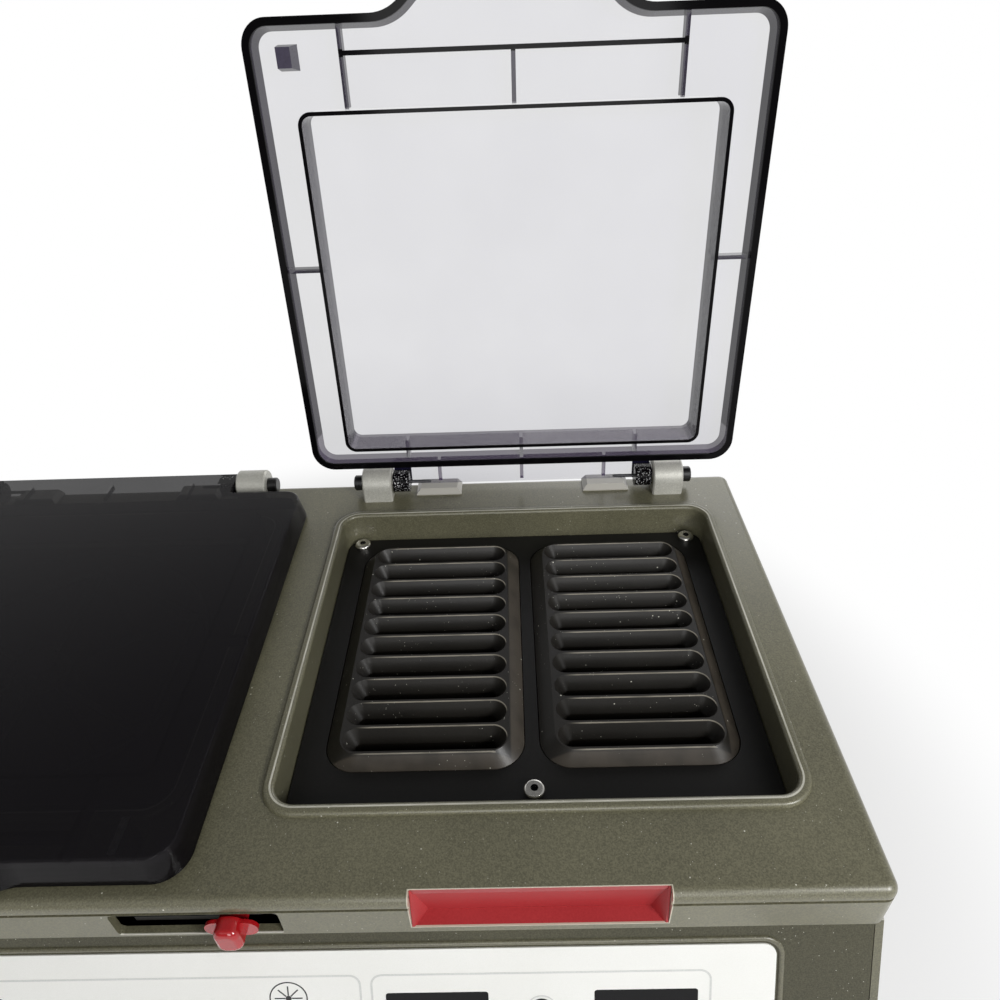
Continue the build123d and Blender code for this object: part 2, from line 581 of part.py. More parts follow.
def base_pan():
    """Folded base with a low rim inside the plates."""
    y0 = NOSE_Y + SIDE_T
    y1 = REAR_Y - SIDE_T
    body = slab(-INNER_X, INNER_X, y0, y1, BASE_Z, FLOOR_Z + BASE_WALL_H)
    body -= slab(-INNER_X + BASE_T, INNER_X - BASE_T, y0 + BASE_T, y1 - BASE_T, FLOOR_Z, FLOOR_Z + BASE_WALL_H)
    for side in (LEFT, RIGHT):
        for y in case_screw_ys():
            body -= rod(side * (INNER_X - BASE_T), side * INNER_X, y, CASE_SCREW_Z, SCREW_R + SCREW_FIT)
    return body


def rubber_feet():
    """Four feet at the corners of the base."""
    feet = []
    for x in (-SIDE_X + FOOT_INSET, SIDE_X - FOOT_INSET):
        for y in (NOSE_Y + FOOT_INSET, REAR_Y - FOOT_INSET):
            foot = post(x, y, 0, BASE_Z, FOOT_R)
            feet.append(chamfer(foot.edges().sort_by(Axis.Z)[0], FOOT_CHAMFER))
    return Compound(children=feet)


def case_screws():
    """Pan-head screws through the side plates into the base pan's rim."""
    screws = []
    for side in (LEFT, RIGHT):
        for y in case_screw_ys():
            head = rod(side * SIDE_X, side * (SIDE_X + CASE_SCREW_H), y, CASE_SCREW_Z, CASE_SCREW_R)
            shank = rod(side * (INNER_X - BASE_T), side * SIDE_X, y, CASE_SCREW_Z, SCREW_R)
            screws.append(head + shank)
    return Compound(children=screws)


def finger_grips():
    """Red inserts in the notches of the lip, hollowed for the fingers under the lids' tabs."""
    top, bottom, deep = grip_edges()
    half = GRIP_W / 2 - GRIP_FIT
    inside_y = LIP_Y + DECK_T + GRIP_FIT
    below = bottom[1] - GRIP_BELOW
    body = slab(-half, half, LIP_Y, top[0] - GRIP_FIT, bottom[1] + GRIP_FIT, DECK_Z)
    body += slab(-half, half, inside_y, LIP_Y + GRIP_DEPTH, below, DECK_Z - DECK_T)
    outside = (LIP_Y - GRIP_DEPTH, DECK_Z + GRIP_DEPTH)
    body -= wedge(GRIP_W, top, bottom, outside, 0)
    body -= wedge(half - GRIP_RIM, top, bottom, deep, GRIP_SLANT)
    return Compound(children=[Pos(side * BAY_X, 0, 0) * body for side in (LEFT, RIGHT)])


# Front panel pieces

def panel_overlay():
    """White front sheet with openings for the lenses and the keys."""
    sheet = RectangleRounded(OVERLAY_W, OVERLAY_H, OVERLAY_R)
    body = on_panel(0, OVERLAY_TOP + OVERLAY_H / 2, sheet, 0, OVERLAY_T)
    for x, window_w in WINDOWS:
        outline = RectangleRounded(window_w, WINDOW_H, WINDOW_R)
        body -= on_panel(x, WINDOW_TOP + WINDOW_H / 2, outline, 0, OVERLAY_T)
    for x, down in KEYS.values():
        body -= on_panel(x, down, Circle(KEY_R + KEY_FIT), 0, OVERLAY_T)
    return body


def display_lenses():
    """Dark lenses, flush with the front sheet."""
    lenses = []
    for x, window_w in WINDOWS:
        outline = RectangleRounded(window_w - 2 * LENS_FIT, WINDOW_H - 2 * LENS_FIT, WINDOW_R)
        lenses.append(on_panel(x, WINDOW_TOP + WINDOW_H / 2, outline, OVERLAY_T - LENS_T, OVERLAY_T))
    return Compound(children=lenses)


def board_span():
    """Left and right ends and the upper and lower edges of the display board."""
    ends = [x + sign * width / 2 for x, width in WINDOWS for sign in (LEFT, RIGHT)]
    lower = KEY_ROW + KEY_R + BOARD_MARGIN
    return min(ends) - BOARD_MARGIN, max(ends) + BOARD_MARGIN, WINDOW_TOP - BOARD_MARGIN, lower


def board_boss_places():
    """Middles of the bosses behind the panel that carry the display board."""
    x0, x1, upper, lower = board_span()
    return [(x, down) for x in (x0 + STANDOFF_R, x1 - STANDOFF_R)
            for down in (upper + STANDOFF_R, lower - STANDOFF_R)]


def display_board():
    """Circuit board behind the panel."""
    x0, x1, upper, lower = board_span()
    back = -SIDE_T - BOARD_GAP
    outline = Rectangle(x1 - x0, lower - upper)
    return on_panel((x0 + x1) / 2, (upper + lower) / 2, outline, back - BOARD_T, back)


def digit_modules():
    """Digit displays on the board, up against the lenses."""
    modules = []
    for x, window_w in WINDOWS:
        outline = RectangleRounded(window_w - 2 * LENS_FIT, WINDOW_H - 2 * LENS_FIT, WINDOW_R)
        middle = WINDOW_TOP + WINDOW_H / 2
        modules.append(on_panel(x, middle, outline, -SIDE_T - BOARD_GAP, OVERLAY_T - LENS_T))
    return Compound(children=modules)


def key_foot():
    """Depth of a key's lower end at rest."""
    return -SIDE_T - SEAM - KEY_COLLAR_T - KEY_STEM


def key_switches():
    """Tact switches on the board, one behind each key."""
    top = key_foot() - KEY_TRAVEL - SEAM
    switches = [on_panel(x, down, Rectangle(SWITCH_W, SWITCH_W), -SIDE_T - BOARD_GAP, top)
                for x, down in KEYS.values()]
    return Compound(children=switches)


def key(x, down):
    """Round key cap with a collar behind the panel and a stem towards its switch."""
    collar = -SIDE_T - SEAM
    cap = on_panel(x, down, Circle(KEY_R), collar, OVERLAY_T + KEY_PROUD)
    cap = fillet(cap.edges().sort_by(Axis.Z)[-1], KEY_EDGE)
    cap += on_panel(x, down, Circle(KEY_R + KEY_COLLAR), collar - KEY_COLLAR_T, collar)
    return cap + on_panel(x, down, Circle(KEY_R / 2), key_foot(), collar)


# Rack of the right bay

def rack_tray():
    """Black plate on the well's ledge with a window for each bank."""
    body = in_bay(RIGHT, well_outline(-BEAD_INNER - FLANGE_FIT), LEDGE_Z, FLANGE_Z)
    for side in (LEFT, RIGHT):
        window = RectangleRounded(BANK_W + 2 * BLOCK_FIT, BANK_D + 2 * BLOCK_FIT, BANK_BASE_R + BLOCK_FIT)
        body -= upright(window, BAY_X + side * BANK_X, BANK_Y, LEDGE_Z, FLANGE_Z)
    for x, y in well_screw_places(RIGHT):
        body -= post(x, y, LEDGE_Z, FLANGE_Z, SCREW_R + SCREW_FIT)
    return body


def card_bank(side):
    """Black heated block with a hipped top and a row of card slots with funnel mouths."""
    base = RectangleRounded(BANK_W, BANK_D, BANK_BASE_R)
    crown = RectangleRounded(BANK_TOP_W, BANK_TOP_D, BANK_R)
    body = extrude(base, FLANGE_Z - BLOCK_Z)
    body += Pos(0, 0, FLANGE_Z - BLOCK_Z) * loft([base, Pos(0, 0, BANK_RISE) * crown], ruled=True)
    top = BANK_Z - BLOCK_Z
    throat = SlotOverall(SLOT_L - 2 * SLOT_TAPER, SLOT_W)
    mouth = SlotOverall(SLOT_L, SLOT_MOUTH)
    funnel = loft([Pos(0, 0, top - SLOT_MOUTH_DROP) * throat, Pos(0, 0, top) * mouth], ruled=True)
    slot = funnel + Pos(0, 0, top - SLOT_DEPTH) * extrude(throat, SLOT_DEPTH - SLOT_MOUTH_DROP)
    for row in range(SLOT_ROWS):
        body -= Pos(0, row * SLOT_PITCH - SLOT_SPAN / 2, 0) * slot
    body -= probe(PROBE_FIT)
    return Pos(BAY_X + side * BANK_X, BANK_Y, BLOCK_Z) * body


def probe(grow):
    """Temperature probe in the rear of a bank's floor, in the bank's own frame."""
    return spindle(0, BANK_D / 2 - PROBE_L, BANK_D / 2, BLOCK_FLOOR / 2, PROBE_R + grow)


def temperature_probes():
    """One probe in each bank."""
    return Compound(children=[Pos(BAY_X + side * BANK_X, BANK_Y, BLOCK_Z) * probe(0) for side in (LEFT, RIGHT)])


def well_screws():
    """Pan-head screws that hold the plate of each well to its ledge."""
    screws = []
    for x, y in well_screw_places(LEFT) + well_screw_places(RIGHT):
        head = post(x, y, FLANGE_Z, FLANGE_Z + SCREW_HEAD_H, SCREW_HEAD_R)
        head = fillet(head.edges().sort_by(Axis.Z)[-1], SCREW_HEAD_H / 2)
        head -= post(x, y, FLANGE_Z + SCREW_HEAD_H - SCREW_SOCKET_H, FLANGE_Z + SCREW_HEAD_H, SCREW_SOCKET_R)
        screws.append(head + post(x, y, FLANGE_Z - SCREW_L, FLANGE_Z, SCREW_R))
    return Compound(children=screws)


def heater_mats():
    """Heater mat under each bank."""
    mats = [slab(BAY_X + side * BANK_X - BANK_W / 2, BAY_X + side * BANK_X + BANK_W / 2,
                 BANK_Y - BANK_D / 2, BANK_Y + BANK_D / 2, MAT_Z, BLOCK_Z) for side in (LEFT, RIGHT)]
    return Compound(children=mats)


def foam_half():
    """Half width and half depth of the insulation slab."""
    return BANK_X + BANK_W / 2 + FOAM_MARGIN, BANK_D / 2 + FOAM_MARGIN


def insulation():
    """Foam slab under the heater mats."""
    half_w, half_d = foam_half()
    return slab(BAY_X - half_w, BAY_X + half_w, BANK_Y - half_d, BANK_Y + half_d, FOAM_Z, MAT_Z)


def rack_shelf():
    """Sheet shelf on four legs that carries the insulated banks."""
    half_w, half_d = foam_half()
    body = slab(BAY_X - half_w, BAY_X + half_w, BANK_Y - half_d, BANK_Y + half_d, SHELF_Z, FOAM_Z)
    for x in (BAY_X - half_w, BAY_X + half_w - LEG_W):
        for y in (BANK_Y - half_d, BANK_Y + half_d - LEG_W):
            body += slab(x, x + LEG_W, y, y + LEG_W, FLOOR_Z, SHELF_Z)
    return body


# Centrifuge of the left bay

def bowl():
    """Bowl with a flange on the well's ledge and a hole for the shaft seal."""
    body = in_bay(LEFT, well_outline(-BEAD_INNER - FLANGE_FIT), LEDGE_Z, FLANGE_Z)
    body += in_bay(LEFT, Circle(BOWL_R + BOWL_T), BOWL_Z - BOWL_T, FLANGE_Z)
    body -= in_bay(LEFT, Circle(BOWL_R), BOWL_Z, FLANGE_Z)
    body -= in_bay(LEFT, Circle(SEAL_R + SHAFT_FIT), BOWL_Z - BOWL_T, BOWL_Z)
    for x, y in well_screw_places(LEFT):
        body -= post(x, y, LEDGE_Z, FLANGE_Z, SCREW_R + SCREW_FIT)
    return body


def bowl_seal():
    """Rubber ring round the shaft in the bowl's floor, with a lip that sits on the floor."""
    body = in_bay(LEFT, Circle(SEAL_R), BOWL_Z - BOWL_T, BOWL_Z)
    body += in_bay(LEFT, Circle(SEAL_R + BOWL_T), BOWL_Z, BOWL_Z + SEAL_T - BOWL_T)
    return body - in_bay(LEFT, Circle(SHAFT_R + SEAL_GAP), BOWL_Z - BOWL_T, BOWL_Z + SEAL_T - BOWL_T)


def rotor():
    """Drum with a flat side to each card pocket, and radial walls from its corners to the hub."""
    half_step = 180 / ROTOR_SPOKES
    inner_r = ROTOR_R - ROTOR_WALL / cos(radians(half_step))
    body = extrude(RegularPolygon(ROTOR_R, ROTOR_SPOKES, rotation=half_step), ROTOR_H)
    hollow = extrude(RegularPolygon(inner_r, ROTOR_SPOKES, rotation=half_step), ROTOR_H - ROTOR_FLOOR)
    body -= Pos(0, 0, ROTOR_FLOOR) * hollow
    body += extrude(Circle(HUB_R), ROTOR_H)
    for index in range(ROTOR_SPOKES):
        spoke = slab(HUB_R / 2, ROTOR_R - ROTOR_WALL, -ROTOR_WALL / 2, ROTOR_WALL / 2, 0, ROTOR_H)
        body += Rot(0, 0, (2 * index + 1) * half_step) * spoke
    body -= extrude(Circle(SHAFT_R + SHAFT_FIT), ROTOR_H)
    return Pos(-BAY_X, WELL_YC, ROTOR_Z) * body


def rotor_nut():
    """Fluted hand nut on top of the rotor."""
    nut = Cylinder(NUT_R, NUT_H)
    for index in range(NUT_FLUTES):
        nut -= Rot(0, 0, index * 360 / NUT_FLUTES) * Pos(NUT_R, 0, 0) * Cylinder(NUT_FLUTE_R, NUT_H)
    nut -= Pos(0, 0, -NUT_H / 4) * Cylinder(SHAFT_R + SHAFT_FIT, NUT_H / 2)
    return Pos(-BAY_X, WELL_YC, ROTOR_TOP + NUT_H / 2) * nut


def motor_shaft():
    """Shaft from the lower bearing up into the rotor nut, with a shoulder under the rotor."""
    body = in_bay(LEFT, Circle(SHAFT_R), MOTOR_Z + SHAFT_TAIL, ROTOR_TOP + NUT_H / 2)
    return body + in_bay(LEFT, Circle(HUB_R / 2), ROTOR_Z - SHAFT_R / 2, ROTOR_Z)


def motor_body():
    """Motor can with a bore for its bearings."""
    body = in_bay(LEFT, Circle(MOTOR_R), MOTOR_Z, MOTOR_TOP)
    return body - in_bay(LEFT, Circle(MOTOR_BORE_R), MOTOR_Z + SHAFT_TAIL - BEARING_T, MOTOR_TOP)


def motor_bearings():
    """Upper and lower bearing rings of the motor."""
    rings = []
    for z in (MOTOR_Z + SHAFT_TAIL, MOTOR_TOP - BEARING_T):
        ring = in_bay(LEFT, Circle(MOTOR_BORE_R - SHAFT_FIT), z, z + BEARING_T)
        rings.append(ring - in_bay(LEFT, Circle(SHAFT_R + SHAFT_FIT), z, z + BEARING_T))
    return Compound(children=rings)


def motor_plate():
    """Square plate that the motor hangs from."""
    body = in_bay(LEFT, Rectangle(PLATE_W, PLATE_W), MOTOR_TOP, MOTOR_TOP + PLATE_T)
    return body - in_bay(LEFT, Circle(PLATE_HOLE_R), MOTOR_TOP, MOTOR_TOP + PLATE_T)


def under_plate(radius, z0, z1):
    """Four upright bars under the corners of the motor plate."""
    reach = PLATE_W / 2 - MOUNT_INSET
    bars = [post(-BAY_X + sx * reach, WELL_YC + sy * reach, z0, z1, radius)
            for sx in (LEFT, RIGHT) for sy in (LEFT, RIGHT)]
    return Compound(children=bars)


# Hinges and lids

def hinge_ends():
    """Bay and end of each of the four hinge blocks."""
    return [(side, end) for side in (LEFT, RIGHT) for end in (LEFT, RIGHT)]


def hinge_blocks():
    """Round-topped blocks on the deck, one at each end of each lid's hinge."""
    blocks = []
    for side, end in hinge_ends():
        x0, x1 = sorted((side * BAY_X + end * BLOCK_IN, side * BAY_X + end * (BLOCK_IN + BLOCK_W)))
        block = slab(x0, x1, AXIS_Y - BLOCK_R, AXIS_Y + BLOCK_R, DECK_Z, AXIS_Z)
        crown = rod(x0, x1, AXIS_Y, AXIS_Z, BLOCK_R)
        block += crown & slab(x0, x1, AXIS_Y - BLOCK_R, AXIS_Y + BLOCK_R, AXIS_Z, AXIS_Z + BLOCK_R)
        arcs = block.edges().filter_by(GeomType.CIRCLE)
        block = chamfer(arcs, BLOCK_EDGE)
        blocks.append(block - rod(x0, x1, AXIS_Y, AXIS_Z, PIN_R + PIN_FIT))
    return Compound(children=blocks)


def hinge_pins():
    """Headed pins through the blocks into the lids' knuckles."""
    pins = []
    for side, end in hinge_ends():
        outer = side * BAY_X + end * (BLOCK_IN + BLOCK_W)
        inner = side * BAY_X + end * (BLOCK_IN - KNUCKLE_GAP - KNUCKLE_W)
        far = outer + end * PIN_HEAD_L
        head = rod(outer, far, AXIS_Y, AXIS_Z, PIN_HEAD_R)
        face = head.faces().sort_by(Axis.X)[0 if end == LEFT else -1]
        head = chamfer(face.edges(), PIN_EDGE)
        pins.append(head + rod(inner, outer, AXIS_Y, AXIS_Z, PIN_R))
    return Compound(children=pins)


def lid_outline():
    """The lid's plan at the skirt's tip: a rounded rectangle with a flared pull tab."""
    side = LID_W / 2
    root = TAB_ROOT / 2
    tip = TAB_TIP / 2
    reach = LID_Y0 - TAB_REACH
    corners = [(side, LID_Y1), (-side, LID_Y1), (-side, LID_Y0), (-root, LID_Y0), (-tip, reach),
               (tip, reach), (root, LID_Y0), (side, LID_Y0)]
    outline = make_face(Polyline(*corners, close=True))
    lid_corners = [vertex for vertex in outline.vertices() if abs(vertex.X) > root + SEAM]
    outline = fillet(lid_corners, LID_CORNER_R)
    outline = fillet(outline.vertices().group_by(Axis.Y)[0], TAB_TIP_R)
    roots = [vertex for vertex in outline.vertices() if abs(abs(vertex.X) - root) < SEAM]
    return fillet(roots, TAB_FLARE_R)


def lid_plate_top():
    """How far the skirt has leaned in at the plate's underside and top."""
    return LID_LEAN * (PLATE_Z - LID_Z0), LID_LEAN * (LID_Z1 - LID_Z0)


def lid():
    """Shut lid about X = 0: tapered skirt, plate, well ring, ribs, rear apron and knuckles."""
    outline = lid_outline()
    body = Pos(0, 0, LID_Z0) * extrude(outline, LID_Z1 - LID_Z0, taper=LID_DRAFT)
    body = fillet(body.faces().sort_by(Axis.Z)[-1].edges(), LID_EDGE_R)
    body -= Pos(0, 0, LID_Z0) * extrude(offset(outline, -LID_WALL), PLATE_Z - LID_Z0, taper=LID_DRAFT)
    ring_y = WELL_Y0 + RING_AHEAD + RING_D / 2
    ring_z = DECK_Z - RING_DROP
    ring = upright(RectangleRounded(RING_W, RING_D, RING_CORNER_R), 0, ring_y, ring_z, PLATE_Z)
    inner = RectangleRounded(RING_W - 2 * RING_T, RING_D - 2 * RING_T, RING_CORNER_R - RING_T)
    body += ring - upright(inner, 0, ring_y, ring_z, PLATE_Z)
    body += lid_ribs()
    reach = BLOCK_IN - KNUCKLE_GAP
    inset = lid_plate_top()[1]
    body += slab(-reach, reach, LID_Y1 - inset - LID_WALL, AXIS_Y + APRON_PAST, PLATE_Z, LID_Z1)
    for end in (LEFT, RIGHT):
        x0, x1 = sorted((end * (reach - KNUCKLE_W), end * reach))
        body += rod(x0, x1, AXIS_Y, AXIS_Z, KNUCKLE_R)
        body += slab(x0, x1, AXIS_Y - KNUCKLE_R, AXIS_Y + APRON_PAST, AXIS_Z, PLATE_Z)
        body -= rod(x0, x1, AXIS_Y, AXIS_Z, PIN_R + PIN_FIT)
    return body


def lid_ribs():
    """Stiffening ribs between the skirt, the ring and the apron."""
    skirt = lid_plate_top()[0] + LID_WALL / 2
    low = PLATE_Z - RIB_H
    cross_y = WELL_Y0 - CROSS_RIB_AHEAD
    ring_front = WELL_Y0 + RING_AHEAD + RING_T / 2
    ring_rear = WELL_Y0 + RING_AHEAD + RING_D - RING_T / 2
    half = CROSS_RIB_W / 2
    ribs = slab(-half, half, cross_y, cross_y + RIB_T, low, PLATE_Z)
    for x in (-half + RIB_T / 2, half - RIB_T / 2):
        ribs += slab(x - RIB_T / 2, x + RIB_T / 2, LID_Y0 + skirt, ring_front, low, PLATE_Z)
    ribs += slab(-RIB_T / 2, RIB_T / 2, cross_y, ring_front, low, PLATE_Z)
    side_y = WELL_Y0 + SIDE_RIB_Y
    for end in (LEFT, RIGHT):
        x0, x1 = sorted((end * (RING_W / 2 - RING_T / 2), end * (LID_W / 2 - skirt)))
        ribs += slab(x0, x1, side_y, side_y + RIB_T, low, PLATE_Z)
    for x in (-REAR_RIB_X, 0, REAR_RIB_X):
        ribs += slab(x - RIB_T / 2, x + RIB_T / 2, ring_rear, LID_Y1 - skirt, low, PLATE_Z)
    for x in (-APRON_RIB_X, 0, APRON_RIB_X):
        ribs += slab(x - RIB_T / 2, x + RIB_T / 2, LID_Y1 - skirt, AXIS_Y, PLATE_Z - APRON_RIB_H, PLATE_Z)
    return ribs


def lid_magnet():
    """Tapered magnet carrier under a front corner of the shut lid, about X = 0."""
    y = WELL_Y0 - PEG_AHEAD
    tip = DECK_Z + PEG_LIFT
    peg = extrude(Rectangle(PEG_W, PEG_D), PLATE_Z - tip, taper=PEG_TAPER)
    return Pos(PEG_X, y, PLATE_Z) * Rot(180, 0, 0) * peg


def lid_sensors():
    """Magnet sensors under the deck, one below each lid magnet."""
    y = WELL_Y0 - PEG_AHEAD
    top = DECK_Z - DECK_T
    sensors = [slab(side * BAY_X + PEG_X - SENSOR_W / 2, side * BAY_X + PEG_X + SENSOR_W / 2,
                    y - SENSOR_D / 2, y + SENSOR_D / 2, top - SENSOR_H, top) for side in (LEFT, RIGHT)]
    return Compound(children=sensors)


# Lid lock

def lock_keeper():
    """Steel tongue under the left lid with a window for the lock bar's nose."""
    low = BAR_Z0 - KEEPER_BELOW - KEEPER_FREE
    x0 = KEEPER_X - KEEPER_T
    body = slab(x0, KEEPER_X, KEEPER_Y - KEEPER_W / 2, KEEPER_Y + KEEPER_W / 2, low, PLATE_Z)
    half = NOSE_W / 2 + KEEPER_FREE
    return body - slab(x0, KEEPER_X, KEEPER_Y - half, KEEPER_Y + half, BAR_Z0 - KEEPER_FREE, BAR_Z1 + KEEPER_FREE)


def lock_bar():
    """Sliding bar behind the lip, with a nose that enters the keeper."""
    front = LIP_Y + DECK_T + LOCK_RUN
    body = slab(BAR_X0, BAR_X1, front, NOSE_Y1, BAR_Z0, BAR_Z1)
    return body + slab(NOSE_X, BAR_X0, NOSE_Y1 - NOSE_W, NOSE_Y1, BAR_Z0, BAR_Z1)


def lock_knob():
    """Red rounded knob in the lip's slot with thin round-ended wings and a stem to the bar."""
    middle = DECK_Z - LOCK_SLOT_TOP - LOCK_SLOT_H / 2
    front = Pos(KNOB_X, LIP_Y - LOCK_RUN, middle) * Rot(90, 0, 0)
    knob = extrude(RectangleRounded(KNOB_W, KNOB_H, KNOB_R), KNOB_PROUD - LOCK_RUN)
    knob = fillet(knob.faces().sort_by(Axis.Z)[-1].edges(), KNOB_EDGE)
    knob += extrude(SlotOverall(TAIL_W, TAIL_H), TAIL_T)
    stem = slab(KNOB_X - KNOB_W / 2, KNOB_X + KNOB_W / 2, LIP_Y - LOCK_RUN, LIP_Y + DECK_T + LOCK_RUN,
                BAR_Z0, BAR_Z1)
    return front * knob + stem


def lock_guide():
    """Bracket under the deck with a floor and a rear wall for the bar."""
    x0 = BAR_X0 - LOCK_TRAVEL
    x1 = BAY_X + PEG_X - SENSOR_W / 2 - SEAM
    wall_y = NOSE_Y1 + SEAM
    floor_z = BAR_Z0 - SEAM
    body = slab(x0, x1, LIP_Y + DECK_T + LOCK_RUN, wall_y + GUIDE_T, floor_z - GUIDE_T, floor_z)
    return body + slab(x0, x1, wall_y, wall_y + GUIDE_T, floor_z - GUIDE_T, DECK_Z - DECK_T)


# Rear panel and electronics

def fan_frame():
    """Square fan frame against the rear panel, with a spider that carries the axle."""
    y1 = REAR_Y - SIDE_T
    y0 = y1 - FAN_T
    body = slab(FAN_X - FAN_W / 2, FAN_X + FAN_W / 2, y0, y1, FAN_Z - FAN_W / 2, FAN_Z + FAN_W / 2)
    body -= spindle(FAN_X, y0, y1, FAN_Z, FAN_BORE_R)
    body += spindle(FAN_X, y0, y0 + FAN_SPIDER_T, FAN_Z, FAN_HUB_R)
    half = FAN_STRUT / 2
    reach = FAN_BORE_R + half
    body += slab(FAN_X - reach, FAN_X + reach, y0, y0 + FAN_SPIDER_T, FAN_Z - half, FAN_Z + half)
    body += slab(FAN_X - half, FAN_X + half, y0, y0 + FAN_SPIDER_T, FAN_Z - reach, FAN_Z + reach)
    return body - spindle(FAN_X, y0, y0 + FAN_SPIDER_T, FAN_Z, FAN_AXLE_R + SHAFT_FIT)


def fan_rotor():
    """Fan hub with pitched blades and an axle in the spider."""
    y1 = REAR_Y - SIDE_T
    y0 = y1 - FAN_T
    hub_y0 = y0 + FAN_SPIDER_T + FAN_HUB_GAP
    hub_y1 = y1 - FAN_HUB_GAP
    body = spindle(FAN_X, hub_y0, hub_y1, FAN_Z, FAN_HUB_R)
    body += spindle(FAN_X, y0, hub_y0, FAN_Z, FAN_AXLE_R)
    depth = hub_y1 - hub_y0 - 2 * FAN_HUB_GAP
    chord = depth / cos(radians(FAN_BLADE_PITCH)) - FAN_BLADE_T
    middle = (FAN_BLADE_R + FAN_HUB_R - FAN_BLADE_T) / 2
    length = FAN_BLADE_R - FAN_HUB_R
    for index in range(FAN_BLADES):
        blade = Pos(middle, 0, 0) * Rot(FAN_BLADE_PITCH, 0, 0) * Box(length, chord, FAN_BLADE_T)
        body += Pos(FAN_X, (hub_y0 + hub_y1) / 2, FAN_Z) * Rot(0, index * 360 / FAN_BLADES, 0) * blade
    return body


def power_inlet():
    """Flanged mains inlet with three contact blades in its socket."""
    half_w = INLET_W / 2
    half_h = INLET_H / 2
    body = slab(INLET_X - half_w, INLET_X + half_w, REAR_Y - INLET_DEPTH, REAR_Y,
                INLET_Z - half_h, INLET_Z + half_h)
    flange_w = half_w + INLET_FLANGE
    flange_h = half_h + INLET_FLANGE
    body += slab(INLET_X - flange_w, INLET_X + flange_w, REAR_Y, REAR_Y + INLET_FLANGE_T,
                 INLET_Z - flange_h, INLET_Z + flange_h)
    mouth = REAR_Y + INLET_FLANGE_T
    half_w -= INLET_WALL
    half_h -= INLET_WALL
    body -= slab(INLET_X - half_w, INLET_X + half_w, mouth - INLET_CAVITY, mouth,
                 INLET_Z - half_h, INLET_Z + half_h)
    for step in (LEFT, 0, RIGHT):
        x = INLET_X + step * BLADE_PITCH
        z = INLET_Z + (BLADE_H / 2 if step == 0 else -BLADE_H / 2)
        body += slab(x - BLADE_W / 2, x + BLADE_W / 2, mouth - INLET_CAVITY, mouth - BLADE_SHORT,
                     z - BLADE_H / 2, z + BLADE_H / 2)
    return body


def switch_frame():
    """Frame of the power switch with a flange outside and bores for the rocker's axle."""
    half_w = ROCKER_W / 2 + ROCKER_FIT
    half_h = ROCKER_H / 2 + ROCKER_FIT
    outer_w = half_w + SWITCH_WALL
    outer_h = half_h + SWITCH_WALL
    body = slab(ROCKER_X - outer_w, ROCKER_X + outer_w, REAR_Y - SWITCH_DEPTH, REAR_Y,
                INLET_Z - outer_h, INLET_Z + outer_h)
    body += slab(ROCKER_X - outer_w - SWITCH_WALL, ROCKER_X + outer_w + SWITCH_WALL, REAR_Y, REAR_Y + SWITCH_WALL,
                 INLET_Z - outer_h - SWITCH_WALL, INLET_Z + outer_h + SWITCH_WALL)
    body -= slab(ROCKER_X - half_w, ROCKER_X + half_w, REAR_Y - SWITCH_DEPTH + SWITCH_WALL, REAR_Y + SWITCH_WALL,
                 INLET_Z - half_h, INLET_Z + half_h)
    axis_y = REAR_Y - ROCKER_DEEP
    return body - rod(ROCKER_X - outer_w, ROCKER_X + outer_w, axis_y, INLET_Z, ROCKER_AXLE_R + PIN_FIT)


def power_rocker():
    """Rocker with a round face about its axle, tipped to one side."""
    axis_y = REAR_Y - ROCKER_DEEP
    x0 = ROCKER_X - ROCKER_W / 2
    x1 = ROCKER_X + ROCKER_W / 2
    face = rod(x0, x1, axis_y, INLET_Z, ROCKER_R)
    lean = radians(ROCKER_TILT)
    half_h = (ROCKER_H / 2) * cos(lean) - (ROCKER_DEEP + SWITCH_WALL) * sin(lean)
    body = face & slab(x0, x1, axis_y - ROCKER_NECK, axis_y + ROCKER_R, INLET_Z - half_h, INLET_Z + half_h)
    stub = ROCKER_W / 2 + ROCKER_FIT + SWITCH_WALL
    body += rod(ROCKER_X - stub, ROCKER_X + stub, axis_y, INLET_Z, ROCKER_AXLE_R)
    return Pos(0, axis_y, INLET_Z) * Rot(ROCKER_TILT, 0, 0) * Pos(0, -axis_y, -INLET_Z) * body


def fuse_holder():
    """Round fuse holder with its cap outside the panel."""
    body = spindle(FUSE_X, REAR_Y - FUSE_L, REAR_Y, INLET_Z, FUSE_NECK_R)
    return body + spindle(FUSE_X, REAR_Y, REAR_Y + FUSE_CAP_T, INLET_Z, FUSE_R)


def main_board():
    """Control board on standoffs under the rack, with chips and capacitors."""
    x0 = BAY_X - MAIN_W / 2
    y0 = BANK_Y - MAIN_D / 2
    z = FLOOR_Z + STANDOFF_H
    top = z + BOARD_T
    pieces = [slab(x0, x0 + MAIN_W, y0, y0 + MAIN_D, z, top)]
    for x in (x0 + STANDOFF_INSET, x0 + MAIN_W - STANDOFF_INSET):
        for y in (y0 + STANDOFF_INSET, y0 + MAIN_D - STANDOFF_INSET):
            pieces.append(post(x, y, FLOOR_Z, z, STANDOFF_R))
    for x in (BAY_X - 2 * CHIP_W, BAY_X):
        pieces.append(slab(x - CHIP_W / 2, x + CHIP_W / 2, BANK_Y - CHIP_W / 2, BANK_Y + CHIP_W / 2,
                           top, top + CHIP_H))
    for x in (BAY_X + 2 * CHIP_W, BAY_X + 3 * CHIP_W):
        pieces.append(post(x, BANK_Y, top, top + CAN_H, CAN_R))
    return Compound(children=pieces)


